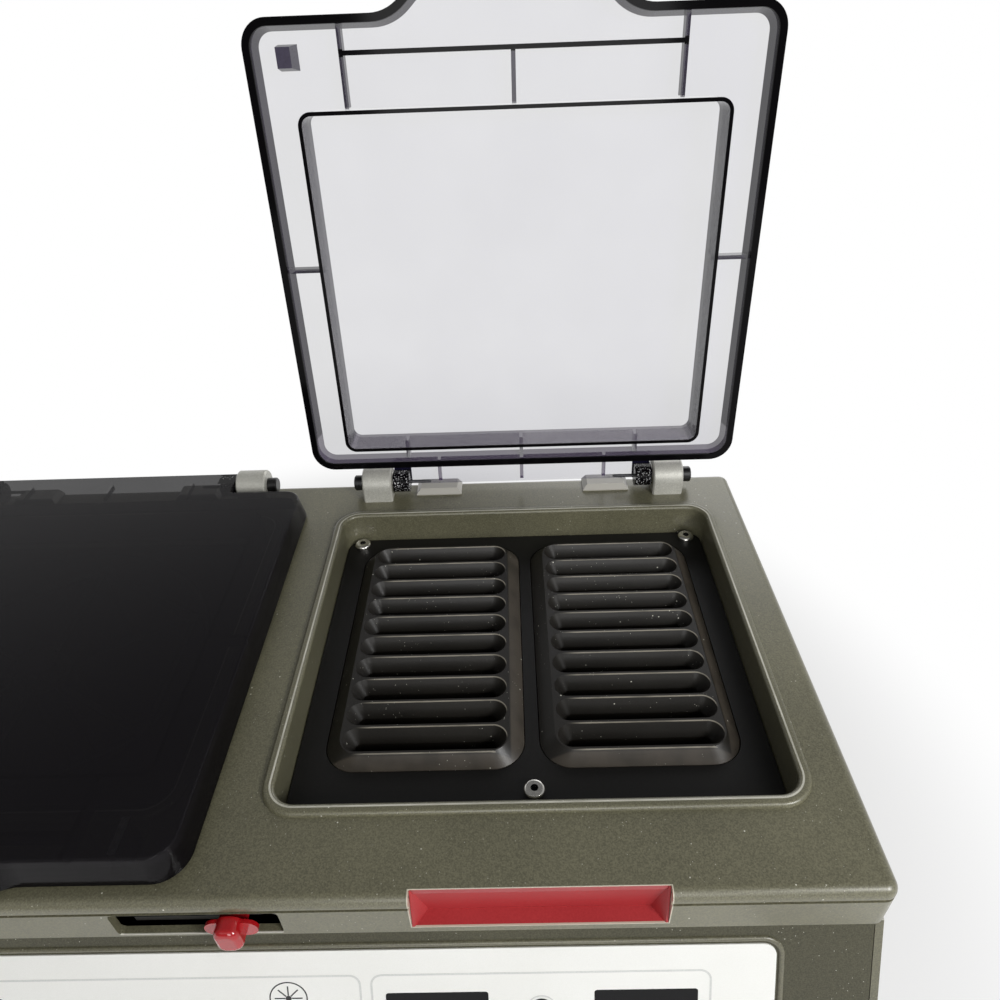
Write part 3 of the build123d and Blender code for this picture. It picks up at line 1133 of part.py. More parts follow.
def power_supply():
    """Boxed power supply between the two bays."""
    x1 = BAY_X - MAIN_W / 2 - SUPPLY_GAP - LEG_W
    return slab(x1 - SUPPLY_W, x1, WELL_YC - SUPPLY_D / 2, WELL_YC + SUPPLY_D / 2, FLOOR_Z, FLOOR_Z + SUPPLY_H)


# All the pieces by name

def pieces():
    """Every piece of the unit in its place, by node name."""
    right_lid = Pos(BAY_X, 0, 0) * lid()
    right_magnet = Pos(BAY_X, 0, 0) * lid_magnet()
    left_lid = Pos(-BAY_X, 0, 0) * lid()
    left_magnet = Pos(-BAY_X, 0, 0) * lid_magnet()
    mount_z = MOTOR_TOP - MOUNT_H
    found = {
        "deck": deck(),
        "well_frame_left": well_frame(LEFT),
        "well_frame_right": well_frame(RIGHT),
        "side_panel_left": side_panel(LEFT),
        "side_panel_right": side_panel(RIGHT),
        "rear_panel": rear_panel(),
        "front_panel": front_panel(),
        "lower_front": lower_front(),
        "base_pan": base_pan(),
        "rubber_feet": rubber_feet(),
        "case_screws": case_screws(),
        "finger_grips": finger_grips(),
        "panel_overlay": panel_overlay(),
        "display_lenses": display_lenses(),
        "display_board": display_board(),
        "digit_modules": digit_modules(),
        "key_switches": key_switches(),
        "rack_tray": rack_tray(),
        "well_screws": well_screws(),
        "card_bank_left": card_bank(LEFT),
        "card_bank_right": card_bank(RIGHT),
        "temperature_probes": temperature_probes(),
        "heater_mats": heater_mats(),
        "insulation": insulation(),
        "rack_shelf": rack_shelf(),
        "bowl": bowl(),
        "bowl_seal": bowl_seal(),
        "rotor": rotor(),
        "rotor_nut": rotor_nut(),
        "motor_shaft": motor_shaft(),
        "motor_body": motor_body(),
        "motor_bearings": motor_bearings(),
        "motor_plate": motor_plate(),
        "motor_mounts": under_plate(MOUNT_R, mount_z, MOTOR_TOP),
        "motor_posts": under_plate(POST_R, FLOOR_Z, mount_z),
        "hinge_blocks": hinge_blocks(),
        "hinge_pins": hinge_pins(),
        "lid_left": left_lid,
        "lid_right": OPENING * right_lid,
        "lid_magnet_left": left_magnet,
        "lid_magnet_right": OPENING * right_magnet,
        "lid_sensors": lid_sensors(),
        "lock_keeper": lock_keeper(),
        "lock_bar": lock_bar(),
        "lock_knob": lock_knob(),
        "lock_guide": lock_guide(),
        "fan_frame": fan_frame(),
        "fan_rotor": fan_rotor(),
        "power_inlet": power_inlet(),
        "switch_frame": switch_frame(),
        "power_rocker": power_rocker(),
        "fuse_holder": fuse_holder(),
        "main_board": main_board(),
        "power_supply": power_supply(),
    }
    for name, (x, down) in KEYS.items():
        found[name] = key(x, down)
    return found


os.makedirs("parts", exist_ok=True)
for node, shape in pieces().items():
    export_step(shape, f"parts/{node}.step")
print(f"case {2 * SIDE_X:.1f} x {CASE_D:.1f} x {CREST_Z:.1f}, hinge axis at Y {AXIS_Y:.2f} Z {AXIS_Z:.2f}")
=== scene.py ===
# %% [markdown]
# # A bench unit that warms and spins test cards
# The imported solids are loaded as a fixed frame: two lidded bays in one case.
# This lesson adds what the solids lack: the finishes, the printed marks on the
# front sheet, the small fittings, the light and the camera.

# %% Load the frame
import json
from math import cos, pi, radians, sin

import bmesh
import bpy
import numpy as np
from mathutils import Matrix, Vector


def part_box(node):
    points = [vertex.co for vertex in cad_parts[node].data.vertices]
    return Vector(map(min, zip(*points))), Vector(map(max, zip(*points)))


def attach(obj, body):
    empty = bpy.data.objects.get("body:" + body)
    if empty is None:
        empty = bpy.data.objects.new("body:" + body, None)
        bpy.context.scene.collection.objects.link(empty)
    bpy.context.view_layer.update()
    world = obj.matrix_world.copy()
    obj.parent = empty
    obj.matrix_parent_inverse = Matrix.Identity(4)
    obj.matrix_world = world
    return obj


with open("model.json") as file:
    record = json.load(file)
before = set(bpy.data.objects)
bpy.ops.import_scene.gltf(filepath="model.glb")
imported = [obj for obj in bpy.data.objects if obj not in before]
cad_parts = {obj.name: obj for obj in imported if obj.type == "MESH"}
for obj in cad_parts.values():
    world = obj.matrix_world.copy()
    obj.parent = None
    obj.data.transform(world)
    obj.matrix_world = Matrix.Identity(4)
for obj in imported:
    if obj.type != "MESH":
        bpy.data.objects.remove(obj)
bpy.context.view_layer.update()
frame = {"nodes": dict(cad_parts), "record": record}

nodes = frame["nodes"]
scene = bpy.context.scene

# %% [markdown]
# Finishes and fittings need a few places on the unit. They could be typed in, but
# then a change to the solids would leave them behind, so they are read from the
# boxes of the deck, the hinge pins and a lid, and the rest is measured from those.

# %% Places on the unit
MM = 0.001
deck_low, deck_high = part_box("deck")
pins_low, pins_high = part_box("hinge_pins")
lid_low, lid_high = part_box("lid_right")
LIP_Y, REAR_Y = deck_low.y, deck_high.y
HINGE_Y, HINGE_Z = (pins_low.y + pins_high.y) / 2, (pins_low.z + pins_high.z) / 2
BAY_X = (lid_low.x + lid_high.x) / 2
HINGE_RISE, BEAD_RISE, BANK_DROP = 7.9 * MM, 2.0 * MM, 10.0 * MM
DECK_Z = HINGE_Z - HINGE_RISE
CREST_Z = DECK_Z + BEAD_RISE
BANK_Z = DECK_Z - BANK_DROP
print(f"lip {LIP_Y:.4f}, hinge axis at {HINGE_Y:.4f}, {HINGE_Z:.4f}, bays at {BAY_X:.4f} each side")

# %% [markdown]
# The camera could be placed by eye, but the well, the deck and the lid give many
# straight edges, so its place was solved from them. Its axes come from three
# turns: a small yaw, a pitch down towards the well, and a roll.

# %% Place the camera
CAMERA_AT = np.array([116.21 * MM, REAR_Y - 372.97 * MM, 446.46 * MM])
PITCH, YAW, ROLL = radians(36.55), radians(-1.28), radians(2.33)
LENS, SENSOR = 27.0, 36.0


def camera_axes(pitch, yaw, roll):
    """Forward from yaw and pitch; right and down are level first, then turned about forward by the roll."""
    forward = np.array([sin(yaw) * cos(pitch), cos(yaw) * cos(pitch), -sin(pitch)])
    right = np.array([cos(yaw), -sin(yaw), 0.0])
    down = np.cross(forward, right)
    turned_right = cos(roll) * right + sin(roll) * down
    turned_down = cos(roll) * down - sin(roll) * right
    return np.column_stack([turned_right, -turned_down, -forward])


def placed(axes, at):
    """A matrix with the axes as columns and a place, as Blender takes it."""
    matrix = np.eye(4)
    matrix[:3, :3] = axes
    matrix[:3, 3] = at
    return matrix.T.tolist()


camera = bpy.data.objects.new("camera", bpy.data.cameras.new("camera"))
camera.data.lens = LENS
camera.data.sensor_width = SENSOR
camera.data.clip_start = 0.01
camera.matrix_world = placed(camera_axes(PITCH, YAW, ROLL), CAMERA_AT)
scene.collection.objects.link(camera)
scene.camera = camera
print("camera at", np.round(CAMERA_AT, 3))

# %% [markdown]
# Materials are node trees. Writing each link by hand hides the idea, so one small
# class wraps a socket: sums and products of sockets then read as plain formulas,
# and every other node comes from one method.


# %% A socket that can be used in sums
class Wire:
    """A socket of a node tree; Python's operators on it add Math nodes."""

    def __init__(self, tree, socket):
        self.tree = tree
        self.socket = socket

    def node(self, kind, settings, inputs, out=0):
        """Adds a node: first its settings, then its sockets' values or links; gives one output."""
        made = self.tree.nodes.new(kind)
        for name, value in settings.items():
            setattr(made, name, value)
        for name, value in inputs.items():
            if isinstance(value, Wire):
                self.tree.links.new(value.socket, made.inputs[name])
            else:
                made.inputs[name].default_value = value
        return Wire(self.tree, made.outputs[out])

    def maths(self, operation, first, second):
        """A Math node on two values."""
        return self.node("ShaderNodeMath", {"operation": operation}, {0: first, 1: second})

    def __add__(self, other):
        return self.maths("ADD", self, other)

    def __radd__(self, other):
        return self.maths("ADD", other, self)

    def __sub__(self, other):
        return self.maths("SUBTRACT", self, other)

    def __rsub__(self, other):
        return self.maths("SUBTRACT", other, self)

    def __mul__(self, other):
        return self.maths("MULTIPLY", self, other)

    def __rmul__(self, other):
        return self.maths("MULTIPLY", other, self)

    def __pow__(self, other):
        return self.maths("POWER", self, other)

    def __abs__(self):
        return self.maths("ABSOLUTE", self, 0.0)

    def larger(self, other):
        return self.maths("MAXIMUM", self, other)

    def rise(self, low, high):
        """0 below low, 1 above high, a smooth step between; low may be the larger one."""
        sockets = {"Value": self, "From Min": low, "From Max": high}
        return self.node("ShaderNodeMapRange", {"interpolation_type": "SMOOTHSTEP"}, sockets)

    def near(self, level, reach):
        """1 within a reach of a level, fading to 0 at one and a half times that."""
        return abs(self - level).rise(reach * 1.5, reach)

    def tint(self, first, second):
        """A colour that goes from the first to the second as this value goes from 0 to 1."""
        colours = {0: self, 6: colour_of(first), 7: colour_of(second)}
        return self.node("ShaderNodeMix", {"data_type": "RGBA"}, colours, out=2)

    def noise(self, scale, detail=2.0, roughness=0.5):
        """Cloudy values about 0.5, with a size in parts per metre, from this place."""
        sockets = {"Vector": self, "Scale": scale, "Detail": detail, "Roughness": roughness}
        return self.node("ShaderNodeTexNoise", {}, sockets)

    def specks(self, scale, size):
        """1 in small dots, each at the middle of a cell, and 0 elsewhere."""
        cells = self.node("ShaderNodeTexVoronoi", {}, {"Vector": self, "Scale": scale})
        return cells.rise(size, size * 0.6)

    def axes(self):
        """The three parts of this place."""
        parts = self.tree.nodes.new("ShaderNodeSeparateXYZ")
        self.tree.links.new(self.socket, parts.inputs[0])
        return [Wire(self.tree, output) for output in parts.outputs]


def colour_of(value):
    """A colour socket's value from three numbers, or the wire as it is."""
    return value if isinstance(value, Wire) else (*value, 1.0)


class Finish:
    """A material with one Principled shader; place is a point of the piece in metres, facing its normal."""

    def __init__(self, name, **constants):
        self.material = bpy.data.materials.new(name)
        self.material.use_nodes = True
        self.tree = self.material.node_tree
        self.shader = self.tree.nodes["Principled BSDF"]
        coordinates = self.tree.nodes.new("ShaderNodeTexCoord")
        self.place = Wire(self.tree, coordinates.outputs["Object"])
        self.facing = Wire(self.tree, coordinates.outputs["Normal"])
        self.set(**constants)

    def set(self, **sockets):
        """Sets the shader's sockets; a name's underscores stand for spaces."""
        for name, value in sockets.items():
            socket = self.shader.inputs[name.replace("_", " ")]
            if isinstance(value, Wire):
                self.tree.links.new(value.socket, socket)
            elif isinstance(value, tuple):
                socket.default_value = colour_of(value)
            else:
                socket.default_value = value

    def bump(self, height, strength, depth):
        """A Bump node on the Normal socket: height in 0 to 1, depth in metres."""
        sockets = {"Height": height, "Strength": strength, "Distance": depth}
        self.set(Normal=self.place.node("ShaderNodeBump", {}, sockets))


def outside(x, y, half_x, half_y, radius):
    """Distance outside a rounded rectangle: the length beyond its core, less its corner radius."""
    past_x = (abs(x) - (half_x - radius)).larger(0.0)
    past_y = (abs(y) - (half_y - radius)).larger(0.0)
    return (past_x * past_x + past_y * past_y) ** 0.5 - radius


def srgb(red, green, blue):
    """Light values of a colour that is given as 0 to 255 on a screen."""
    share = np.array([red, green, blue]) / 255
    return tuple(np.where(share > 0.04045, ((share + 0.055) / 1.055) ** 2.4, share / 12.92).tolist())


print("a middle grey in light values", [round(v, 3) for v in srgb(128, 128, 128)])

# %% [markdown]
# The case and the deck have a dark olive-grey paint with fine flakes. It could be one
# grey, but the photograph shows soft clouds, flakes and a few specks of dust. Clouds
# and flakes are noises, and dust is dots in cells. The front panel has the same
# paint, darker and duller.

# %% Paint
OLIVE_DARK = np.array(srgb(84, 82, 65))
OLIVE_LIGHT = np.array(srgb(129, 126, 101))
DUST = srgb(222, 220, 206)
COARSE_DUST, FINE_DUST, FINE_SHARE = (190.0, 0.07), (480.0, 0.1), 0.7
FLAKES, CLOUDS, FLAKE_DEPTH = 1700.0, 14.0, 0.06 * MM


def dusted(place):
    """1 on fine specks of dust of two sizes, thicker in some patches than in others."""
    coarse = place.specks(*COARSE_DUST) * place.noise(35.0).rise(0.46, 0.56)
    fine = place.specks(*FINE_DUST) * place.noise(60.0).rise(0.45, 0.6)
    return coarse.larger(fine * FINE_SHARE)


def flaked_paint(name, shade, sheen):
    """Paint and its colour wire: clouds and flakes between two olives times a shade, then dust."""
    gloss = {"Specular_IOR_Level": 0.6 * sheen, "Coat_Weight": 0.4 * sheen, "Coat_Roughness": 0.28}
    paint = Finish(name, Metallic=0.05, **gloss)
    flakes = paint.place.noise(FLAKES, 2.0, 0.6).rise(0.3, 0.7)
    cloud = paint.place.noise(CLOUDS, 3.0)
    colour = (flakes * 0.6 + cloud * 0.8 - 0.2).tint(shade * OLIVE_DARK, shade * OLIVE_LIGHT)
    paint.set(Roughness=flakes * 0.1 + cloud * 0.14 + 0.26)
    paint.bump(flakes, 0.2, FLAKE_DEPTH)
    return paint, dusted(paint.place).tint(colour, DUST)


case_paint, case_colour = flaked_paint("case paint", 0.8, 1.0)
case_paint.set(Base_Color=case_colour)
panel_paint, panel_colour = flaked_paint("panel paint", 0.45, 0.4)
panel_paint.set(Base_Color=panel_colour)

# %% [markdown]
# Five masks go on the deck's paint. The stop pads behind the wells are bare metal
# like the hinge blocks. A painted highlight runs in patches along the crest of the
# bead round each well. The edges of the notches for the finger inserts are cream,
# and the notches' back walls are lined in red. A painted highlight runs along the
# lower edge of the lock's slot. Each mask is a distance from an edge, in the deck's frame.

# %% Masks on the deck
WELL_HALF_X, WELL_HALF_Y, WELL_R = 103.0 * MM, 90.65 * MM, 11.0 * MM
WELL_FROM_LIP, PAD_START = 35.0 * MM, HINGE_Y - 8.0 * MM
WELL_Y = LIP_Y + WELL_FROM_LIP + WELL_HALF_Y
NOTCH_HALF, NOTCH_BACK, NOTCH_DROP = 45.5 * MM, 4.2 * MM, 18.5 * MM
SLOT_HALF, SLOT_FOOT = 30.0 * MM, 20.5 * MM
CREST_HIGHLIGHT, CREAM, LINING_RED = srgb(218, 216, 202), srgb(216, 209, 190), srgb(167, 43, 47)
SLOT_HIGHLIGHT, BARE_METAL = srgb(214, 212, 200), srgb(182, 179, 170)

deck_paint, deck_colour = flaked_paint("deck paint", 1.0, 1.0)
x, y, z = deck_paint.place.axes()
behind = y.rise(PAD_START, PAD_START + 1.0 * MM)
pad = behind * z.rise(DECK_Z + 0.2 * MM, DECK_Z + 0.5 * MM)
from_well = outside(abs(x) - BAY_X, y - WELL_Y, WELL_HALF_X, WELL_HALF_Y, WELL_R)
# painted highlight: a pale line along each bead's crest, broken into patches by a noise
crest = from_well.near(0.15 * MM, 0.3 * MM) * z.rise(CREST_Z - 0.3 * MM, CREST_Z - 0.1 * MM)
highlight_patches = deck_paint.place.noise(45.0).rise(0.3, 0.6)
past_end = abs(abs(x) - BAY_X) - NOTCH_HALF
past_back = (y - (LIP_Y + NOTCH_BACK)) * 2.0
past_foot = (DECK_Z - NOTCH_DROP) - z
# the edges of the notches are coloured cream
notch_edge = past_end.larger(past_back).larger(past_foot).rise(0.5 * MM, 0.25 * MM)
lining = y.near(LIP_Y + NOTCH_BACK, 0.15 * MM) * past_end.rise(-0.3 * MM, -0.6 * MM)
lining = lining * z.rise(DECK_Z - 0.3 * MM, DECK_Z - 0.5 * MM) * past_foot.rise(0.0, -0.3 * MM)
# painted highlight: a bright line along the lower edge of the lock's slot
slot_edge = z.near(DECK_Z - SLOT_FOOT, 0.3 * MM) * abs(x).rise(SLOT_HALF, SLOT_HALF - 1 * MM)
slot_edge = slot_edge * y.rise(LIP_Y + 0.5 * MM, LIP_Y + 0.3 * MM)
deck_colour = (crest * (highlight_patches * 0.4 + 0.55)).tint(deck_colour, CREST_HIGHLIGHT)
deck_colour = (notch_edge * 0.9).tint(deck_colour, CREAM)
deck_colour = lining.tint(deck_colour, LINING_RED)
deck_colour = slot_edge.tint(deck_colour, SLOT_HIGHLIGHT)
deck_colour = pad.tint(deck_colour, BARE_METAL)
deck_paint.set(Base_Color=deck_colour)
# the pale crests are a painted highlight
print("paint with highlighted crests, cream notch edges and bare pads")

# %% [markdown]
# Most other pieces are moulded plastic, sheet metal, rubber or foam. Each gets two
# close colours mixed by a fine grain and a slow cloud, which also move its
# roughness and its bump, so that no surface is one flat colour.


# %% Plain finishes
def mixed(name, dark, light, rough, grain_size, depth, **constants):
    """A finish and its colour wire: two close colours mixed by a fine noise and a cloud."""
    made = Finish(name, **constants)
    grain = made.place.noise(grain_size, 3.0, 0.6)
    cloud = made.place.noise(25.0, 2.0)
    made.set(Roughness=grain * 0.12 + cloud * 0.12 + (rough - 0.12))
    made.bump(grain, 0.3, depth * MM)
    return made, (grain * 0.6 + cloud * 0.4).rise(0.3, 0.7).tint(srgb(*dark), srgb(*light))


def plain_finish(*description, **constants):
    """The material alone of a mixed finish."""
    made, colour = mixed(*description, **constants)
    made.set(Base_Color=colour)
    return made.material


finishes = {
    "deck_paint": deck_paint.material,
    "case_paint": case_paint.material,
    "black_plastic": plain_finish(
        "black plastic", (12, 11, 10), (21, 20, 18), 0.46, 1500.0, 0.08, Specular_IOR_Level=0.3),
    "panel_white": plain_finish("panel white", (238, 238, 233), (244, 244, 240), 0.42, 2400.0, 0.02),
    "display_dark": plain_finish(
        "display dark", (9, 9, 10), (15, 15, 17), 0.2, 900.0, 0.01, Specular_IOR_Level=0.2),
    "red_plastic": plain_finish("red plastic", (160, 38, 42), (174, 49, 52), 0.4, 1600.0, 0.03),
    "hinge_grey": plain_finish(
        "hinge grey", (178, 177, 168), (216, 215, 206), 0.38, 1800.0, 0.08, Metallic=0.2),
    "pin_black": plain_finish("pin black", (12, 12, 12), (26, 26, 26), 0.35, 1200.0, 0.05),
    "bright_steel": plain_finish(
        "bright steel", (196, 194, 188), (224, 222, 216), 0.22, 900.0, 0.02, Metallic=1.0),
    "steel": plain_finish("sheet steel", (150, 151, 152), (182, 183, 184), 0.36, 700.0, 0.02, Metallic=1.0),
    "bowl_steel": plain_finish("bowl steel", (26, 26, 26), (36, 36, 36), 0.36, 700.0, 0.02, Metallic=1.0),
    "rotor_plastic": plain_finish("rotor plastic", (20, 20, 21), (30, 30, 31), 0.45, 1500.0, 0.05),
    "motor_metal": plain_finish("motor metal", (60, 60, 63), (84, 84, 88), 0.4, 900.0, 0.05, Metallic=0.6),
    "rubber": plain_finish("rubber", (18, 18, 18), (34, 34, 34), 0.7, 1300.0, 0.1),
    "foam": plain_finish("foam", (150, 150, 146), (190, 190, 186), 0.85, 900.0, 0.3),
    "heater_film": plain_finish("heater film", (170, 96, 28), (196, 120, 40), 0.3, 600.0, 0.02),
    "board_green": plain_finish("board green", (16, 84, 46), (26, 108, 60), 0.35, 800.0, 0.02),
    "electronics_grey": plain_finish("electronics grey", (38, 38, 40), (58, 58, 60), 0.5, 1000.0, 0.03),
    "supply_metal": plain_finish(
        "supply metal", (170, 171, 172), (200, 201, 202), 0.38, 600.0, 0.02, Metallic=0.9),
    "key_grey": plain_finish("key grey", (120, 123, 128), (140, 143, 148), 0.42, 1600.0, 0.03),
    "key_black": plain_finish("key black", (14, 14, 15), (26, 26, 27), 0.35, 1600.0, 0.03),
}

# %% [markdown]
# The card banks are black. A painted highlight runs pale along the rear rim of every
# slot mouth, and painted light turns the slopes to the right and in front a dull
# brown, in patches. A mouth is a rounded oblong, repeated along the bank, so a point's
# distance from the nearest mouth's outline tells whether it lies on a rim.

# %% Card banks
bank_low, bank_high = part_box("card_bank_right")
BANK_AT = (bank_low.x + bank_high.x) / 2 - BAY_X
ROWS, ROW_PITCH = 10, 13.3 * MM
FIRST_ROW = (bank_low.y + bank_high.y) / 2 - (ROWS - 1) / 2 * ROW_PITCH
CORE_HALF, MOUTH_R = 29.3 * MM, 6.0 * MM
TOP_HALF, FRONT_EDGE = 36.5 * MM, -7.2 * MM
LIT_SLOPE_BROWN, RIM_HIGHLIGHT = srgb(84, 77, 68), srgb(150, 144, 130)


def painted_rack_light(place):
    """Masks of painted light: 1 on the rear half of each mouth's rim, and 1 on the slopes right of and
    before the mouths.
    """
    x, y, z = place.axes()
    from_bay, from_row = x - BAY_X, y - FIRST_ROW
    along = from_bay - from_bay.maths("SIGN", from_bay, 0.0) * BANK_AT
    across = from_row - from_row.maths("ROUND", from_row * (1 / ROW_PITCH), 0.0) * ROW_PITCH
    past_rim = outside(along, across, CORE_HALF + MOUTH_R, MOUTH_R, MOUTH_R)
    rear_half = across.rise(-1.0 * MM, 3.0 * MM) * along.rise(-31.0 * MM, -22.0 * MM)
    rims = past_rim.near(0.1 * MM, 0.2 * MM) * rear_half * z.rise(BANK_Z - 0.9 * MM, BANK_Z - 0.5 * MM)
    slopes = along.rise(TOP_HALF, TOP_HALF + 1 * MM).larger(from_row.rise(FRONT_EDGE, FRONT_EDGE - 1 * MM))
    return rims, slopes * z.rise(BANK_Z, BANK_Z - 0.5 * MM)


rack, rack_colour = mixed(
    "rack black", (22, 20, 17), (34, 31, 26), 0.4, 1800.0, 0.05, Specular_IOR_Level=0.5)
rims, slopes = painted_rack_light(rack.place)
light_patches = rack.place.noise(70.0).rise(0.25, 0.6) * 0.5 + 0.5
# painted light on the slopes and a painted highlight on the rims, both in patches
rack_colour = (slopes * light_patches * 0.7).tint(rack_colour, LIT_SLOPE_BROWN)
rack_colour = (rims * light_patches).tint(rack_colour, RIM_HIGHLIGHT)
rack_colour = dusted(rack.place).tint(rack_colour, DUST)
rack.set(Base_Color=rack_colour)
finishes["rack_black"] = rack.material
print(len(finishes), "finishes")

# %% [markdown]
# The lids are smoked clear mouldings. Seen through, the open one is a pale lavender
# with purple walls, and painted light makes its lowest walls paler and more purple.
# The tips of its skirt and ring, where one looks along the wall, are nearly black, and
# so are its hinge knuckles and their arms, with painted glints on the knuckles. The
# shut one lies over a dark bay, so its finish is a copy darkened with painted shade.
# Glass with a volume would show that only in some views, so the cover is set by where
# a point lies on the lid, in the shut lid's frame.

# %% Smoked lids
LID_TIP_Z = DECK_Z + 1.7 * MM
RING_TIP_Z = DECK_Z - 7.9 * MM
PLATE_Z = DECK_Z + 11.3 * MM
RIB_TIP_Z = PLATE_Z - 6.0 * MM
KNUCKLE_R, KNUCKLE_IN = 6.0 * MM, 65.9 * MM
CROSS_RIB_Y = LIP_Y + 21.0 * MM
RING_HALF_X, RING_HALF_Y, RING_R = 97.0 * MM, 83.9 * MM, 6.0 * MM
RING_Y = LIP_Y + 43.15 * MM + RING_HALF_Y
LID_OPEN = radians(96.5)
TIP_BLACK, KNUCKLE_GLINTS = srgb(9, 8, 10), srgb(225, 224, 226)


def in_shut_lid(vector, middle, opened):
    """Parts of a place or a direction on a lid, turned back about X by the angle that it stands open."""
    sockets = {"Vector": vector, "Center": middle, "Axis": (1.0, 0.0, 0.0), "Angle": opened}
    return vector.node("ShaderNodeVectorRotate", {}, sockets).axes()


def smoked(name, opened, gloss, plate, wall):
    """Lid that is thin over the plate, denser on the walls, and full at tips, knuckles and arms.

    plate is a colour and a cover; wall is both too, and then the colour of the lower walls.
    """
    plate_colour, plate_cover = plate
    wall_colour, wall_cover, lower_colour = wall
    lid = Finish(name, IOR=1.5, Specular_IOR_Level=gloss)
    x, y, z = in_shut_lid(lid.place, (0.0, HINGE_Y, HINGE_Z), opened)
    _, _, up = in_shut_lid(lid.facing, (0.0, 0.0, 0.0), opened)
    from_ring = outside(abs(x) - BAY_X, y - RING_Y, RING_HALF_X, RING_HALF_Y, RING_R)
    walls = z.rise(PLATE_Z - 0.2 * MM, PLATE_Z - 0.6 * MM)
    rib_tip = z.near(RIB_TIP_Z, 0.3 * MM) * abs(up).rise(0.5, 0.8)
    skirt_tip = z.near(LID_TIP_Z, 0.8 * MM) * from_ring.rise(2 * MM, 4 * MM)
    cross_tip = rib_tip * y.near(CROSS_RIB_Y, 1.4 * MM)
    ring_tip = z.rise(RING_TIP_Z + 0.7 * MM, RING_TIP_Z + 0.3 * MM)
    from_axis = ((y - HINGE_Y) * (y - HINGE_Y) + (z - HINGE_Z) * (z - HINGE_Z)) ** 0.5
    hinge_end = abs(abs(x) - BAY_X).rise(KNUCKLE_IN - 0.6 * MM, KNUCKLE_IN - 0.2 * MM)
    knuckle = from_axis.rise(KNUCKLE_R + 0.8 * MM, KNUCKLE_R + 0.4 * MM) * hinge_end
    arm = y.rise(HINGE_Y - KNUCKLE_R - 0.6 * MM, HINGE_Y - KNUCKLE_R - 0.2 * MM) * hinge_end
    # painted glints: pale specks on the knuckles
    knuckle_glints = knuckle * lid.place.noise(1300.0, 3.0).rise(0.6, 0.66)
    dark = skirt_tip.larger(cross_tip).larger(ring_tip).larger(knuckle).larger(arm)
    cloud = lid.place.noise(30.0)
    rear = y.rise(HINGE_Y - 90 * MM, HINGE_Y - 12 * MM)
    thin = plate_cover + rear * 0.05
    sheer = from_ring.near(0.0, 0.5 * MM) * z.rise(PLATE_Z, PLATE_Z - 0.3 * MM)
    # painted light: the walls lowest on the open lid are paler, more purple and thinner
    lower = y.rise(RING_Y + RING_HALF_Y - 4 * MM, RING_Y + RING_HALF_Y - 2.5 * MM)
    dense = walls * (wall_cover - lower * 0.12 - thin) * (1 - sheer * 0.9)
    cover = (thin + dense).larger(rib_tip * 0.72) + cloud * 0.03
    colour = (walls * lower).tint(walls.tint(plate_colour, wall_colour), lower_colour)
    colour = dark.tint(rib_tip.tint(colour, wall_colour), TIP_BLACK)
    lid.set(Base_Color=knuckle_glints.tint(colour, KNUCKLE_GLINTS))
    lid.set(Alpha=cover.larger(dark), Roughness=cloud * 0.06 + 0.06)
    return lid.material


lid_finishes = {
    "lid_right": smoked(
        "smoked right lid", LID_OPEN, 0.08,
        plate=(srgb(66, 62, 108), 0.125), wall=(srgb(44, 38, 56), 0.88, srgb(80, 66, 96))),
    # painted shade: the shut lid's copy of the finish is darkened by the dark bay under it
    "lid_left": smoked(
        "smoked left lid", 0.0, 0.15,
        plate=(srgb(30, 28, 31), 0.68), wall=(srgb(18, 16, 18), 0.82, srgb(22, 18, 22))),
}
print("smoked", ", ".join(lid_finishes))

# %% [markdown]
# A few nodes have a finish of their own, in place of the one that their material
# slot gives. The sockets of the wells' screws carry painted shade: the faces that look
# up, but lie below the top of the head, are painted dark.

# %% Finishes on the nodes
screw, screw_colour = mixed("screw steel", (196, 194, 188), (224, 222, 216), 0.2, 900.0, 0.02, Metallic=1.0)
head_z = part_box("well_screws")[1].z
below_top = screw.place.axes()[2].rise(head_z - 0.3 * MM, head_z - 0.6 * MM)
looks_up = screw.facing.axes()[2].rise(0.9, 0.97)
# painted shade: the socket's floor, below the top of the head, is dark
screw.set(Base_Color=(below_top * looks_up).tint(screw_colour, srgb(14, 14, 14)))
own_finishes = {
    **lid_finishes,
    "well_screws": screw.material,
    "front_panel": panel_paint.material,
    "lid_magnet_right": plain_finish("smoked peg", (44, 38, 58), (58, 50, 74), 0.3, 900.0, 0.02),
    "lock_knob": plain_finish(
        "glossy red", (168, 20, 26), (180, 26, 32), 0.14, 1600.0, 0.01, Coat_Weight=0.4),
}
for part in frame["record"]["subparts"]:
    name = part["node"]
    coat = own_finishes.get(name) or finishes[part["material_slot"]]
    for slot in nodes[name].material_slots:
        slot.material = coat
print("finishes set on", len(nodes), "nodes")

# %% [markdown]
# New pieces are worked out as arrays. Two makers are enough here: a profile carried
# along a path, which gives printed lines and rims, and a profile turned about an
# axis, which gives washers, rods and screw heads. Both give a grid of points whose
# neighbours are joined by four-cornered faces.


# %% Makers of new pieces
def grid_faces(rows, columns, closed):
    """Faces between neighbours of a grid whose columns close on themselves; its rows may close too."""
    row = np.arange(rows if closed else rows - 1)[:, None]
    column = np.arange(columns)[None, :]
    after, beside = (row + 1) % rows, (column + 1) % columns
    here, there = row * columns, after * columns
    corners = [here + column, here + beside, there + beside, there + column]
    return np.stack(np.broadcast_arrays(*corners), axis=-1).reshape(-1, 4)


def carried(path, side, up, profile, closed):
    """Profile (u, v) carried along a path: point = path + side * u + up * v; open ends are capped."""
    points = path[:, None] + side[:, None] * profile[None, :, :1] + up * profile[None, :, 1:]
    rows, columns = points.shape[:2]
    faces = grid_faces(rows, columns, closed)
    if not closed:
        ends = np.arange(columns) + np.array([[0], [(rows - 1) * columns]])
        faces = np.concatenate([faces, ends])
    return points.reshape(-1, 3), faces


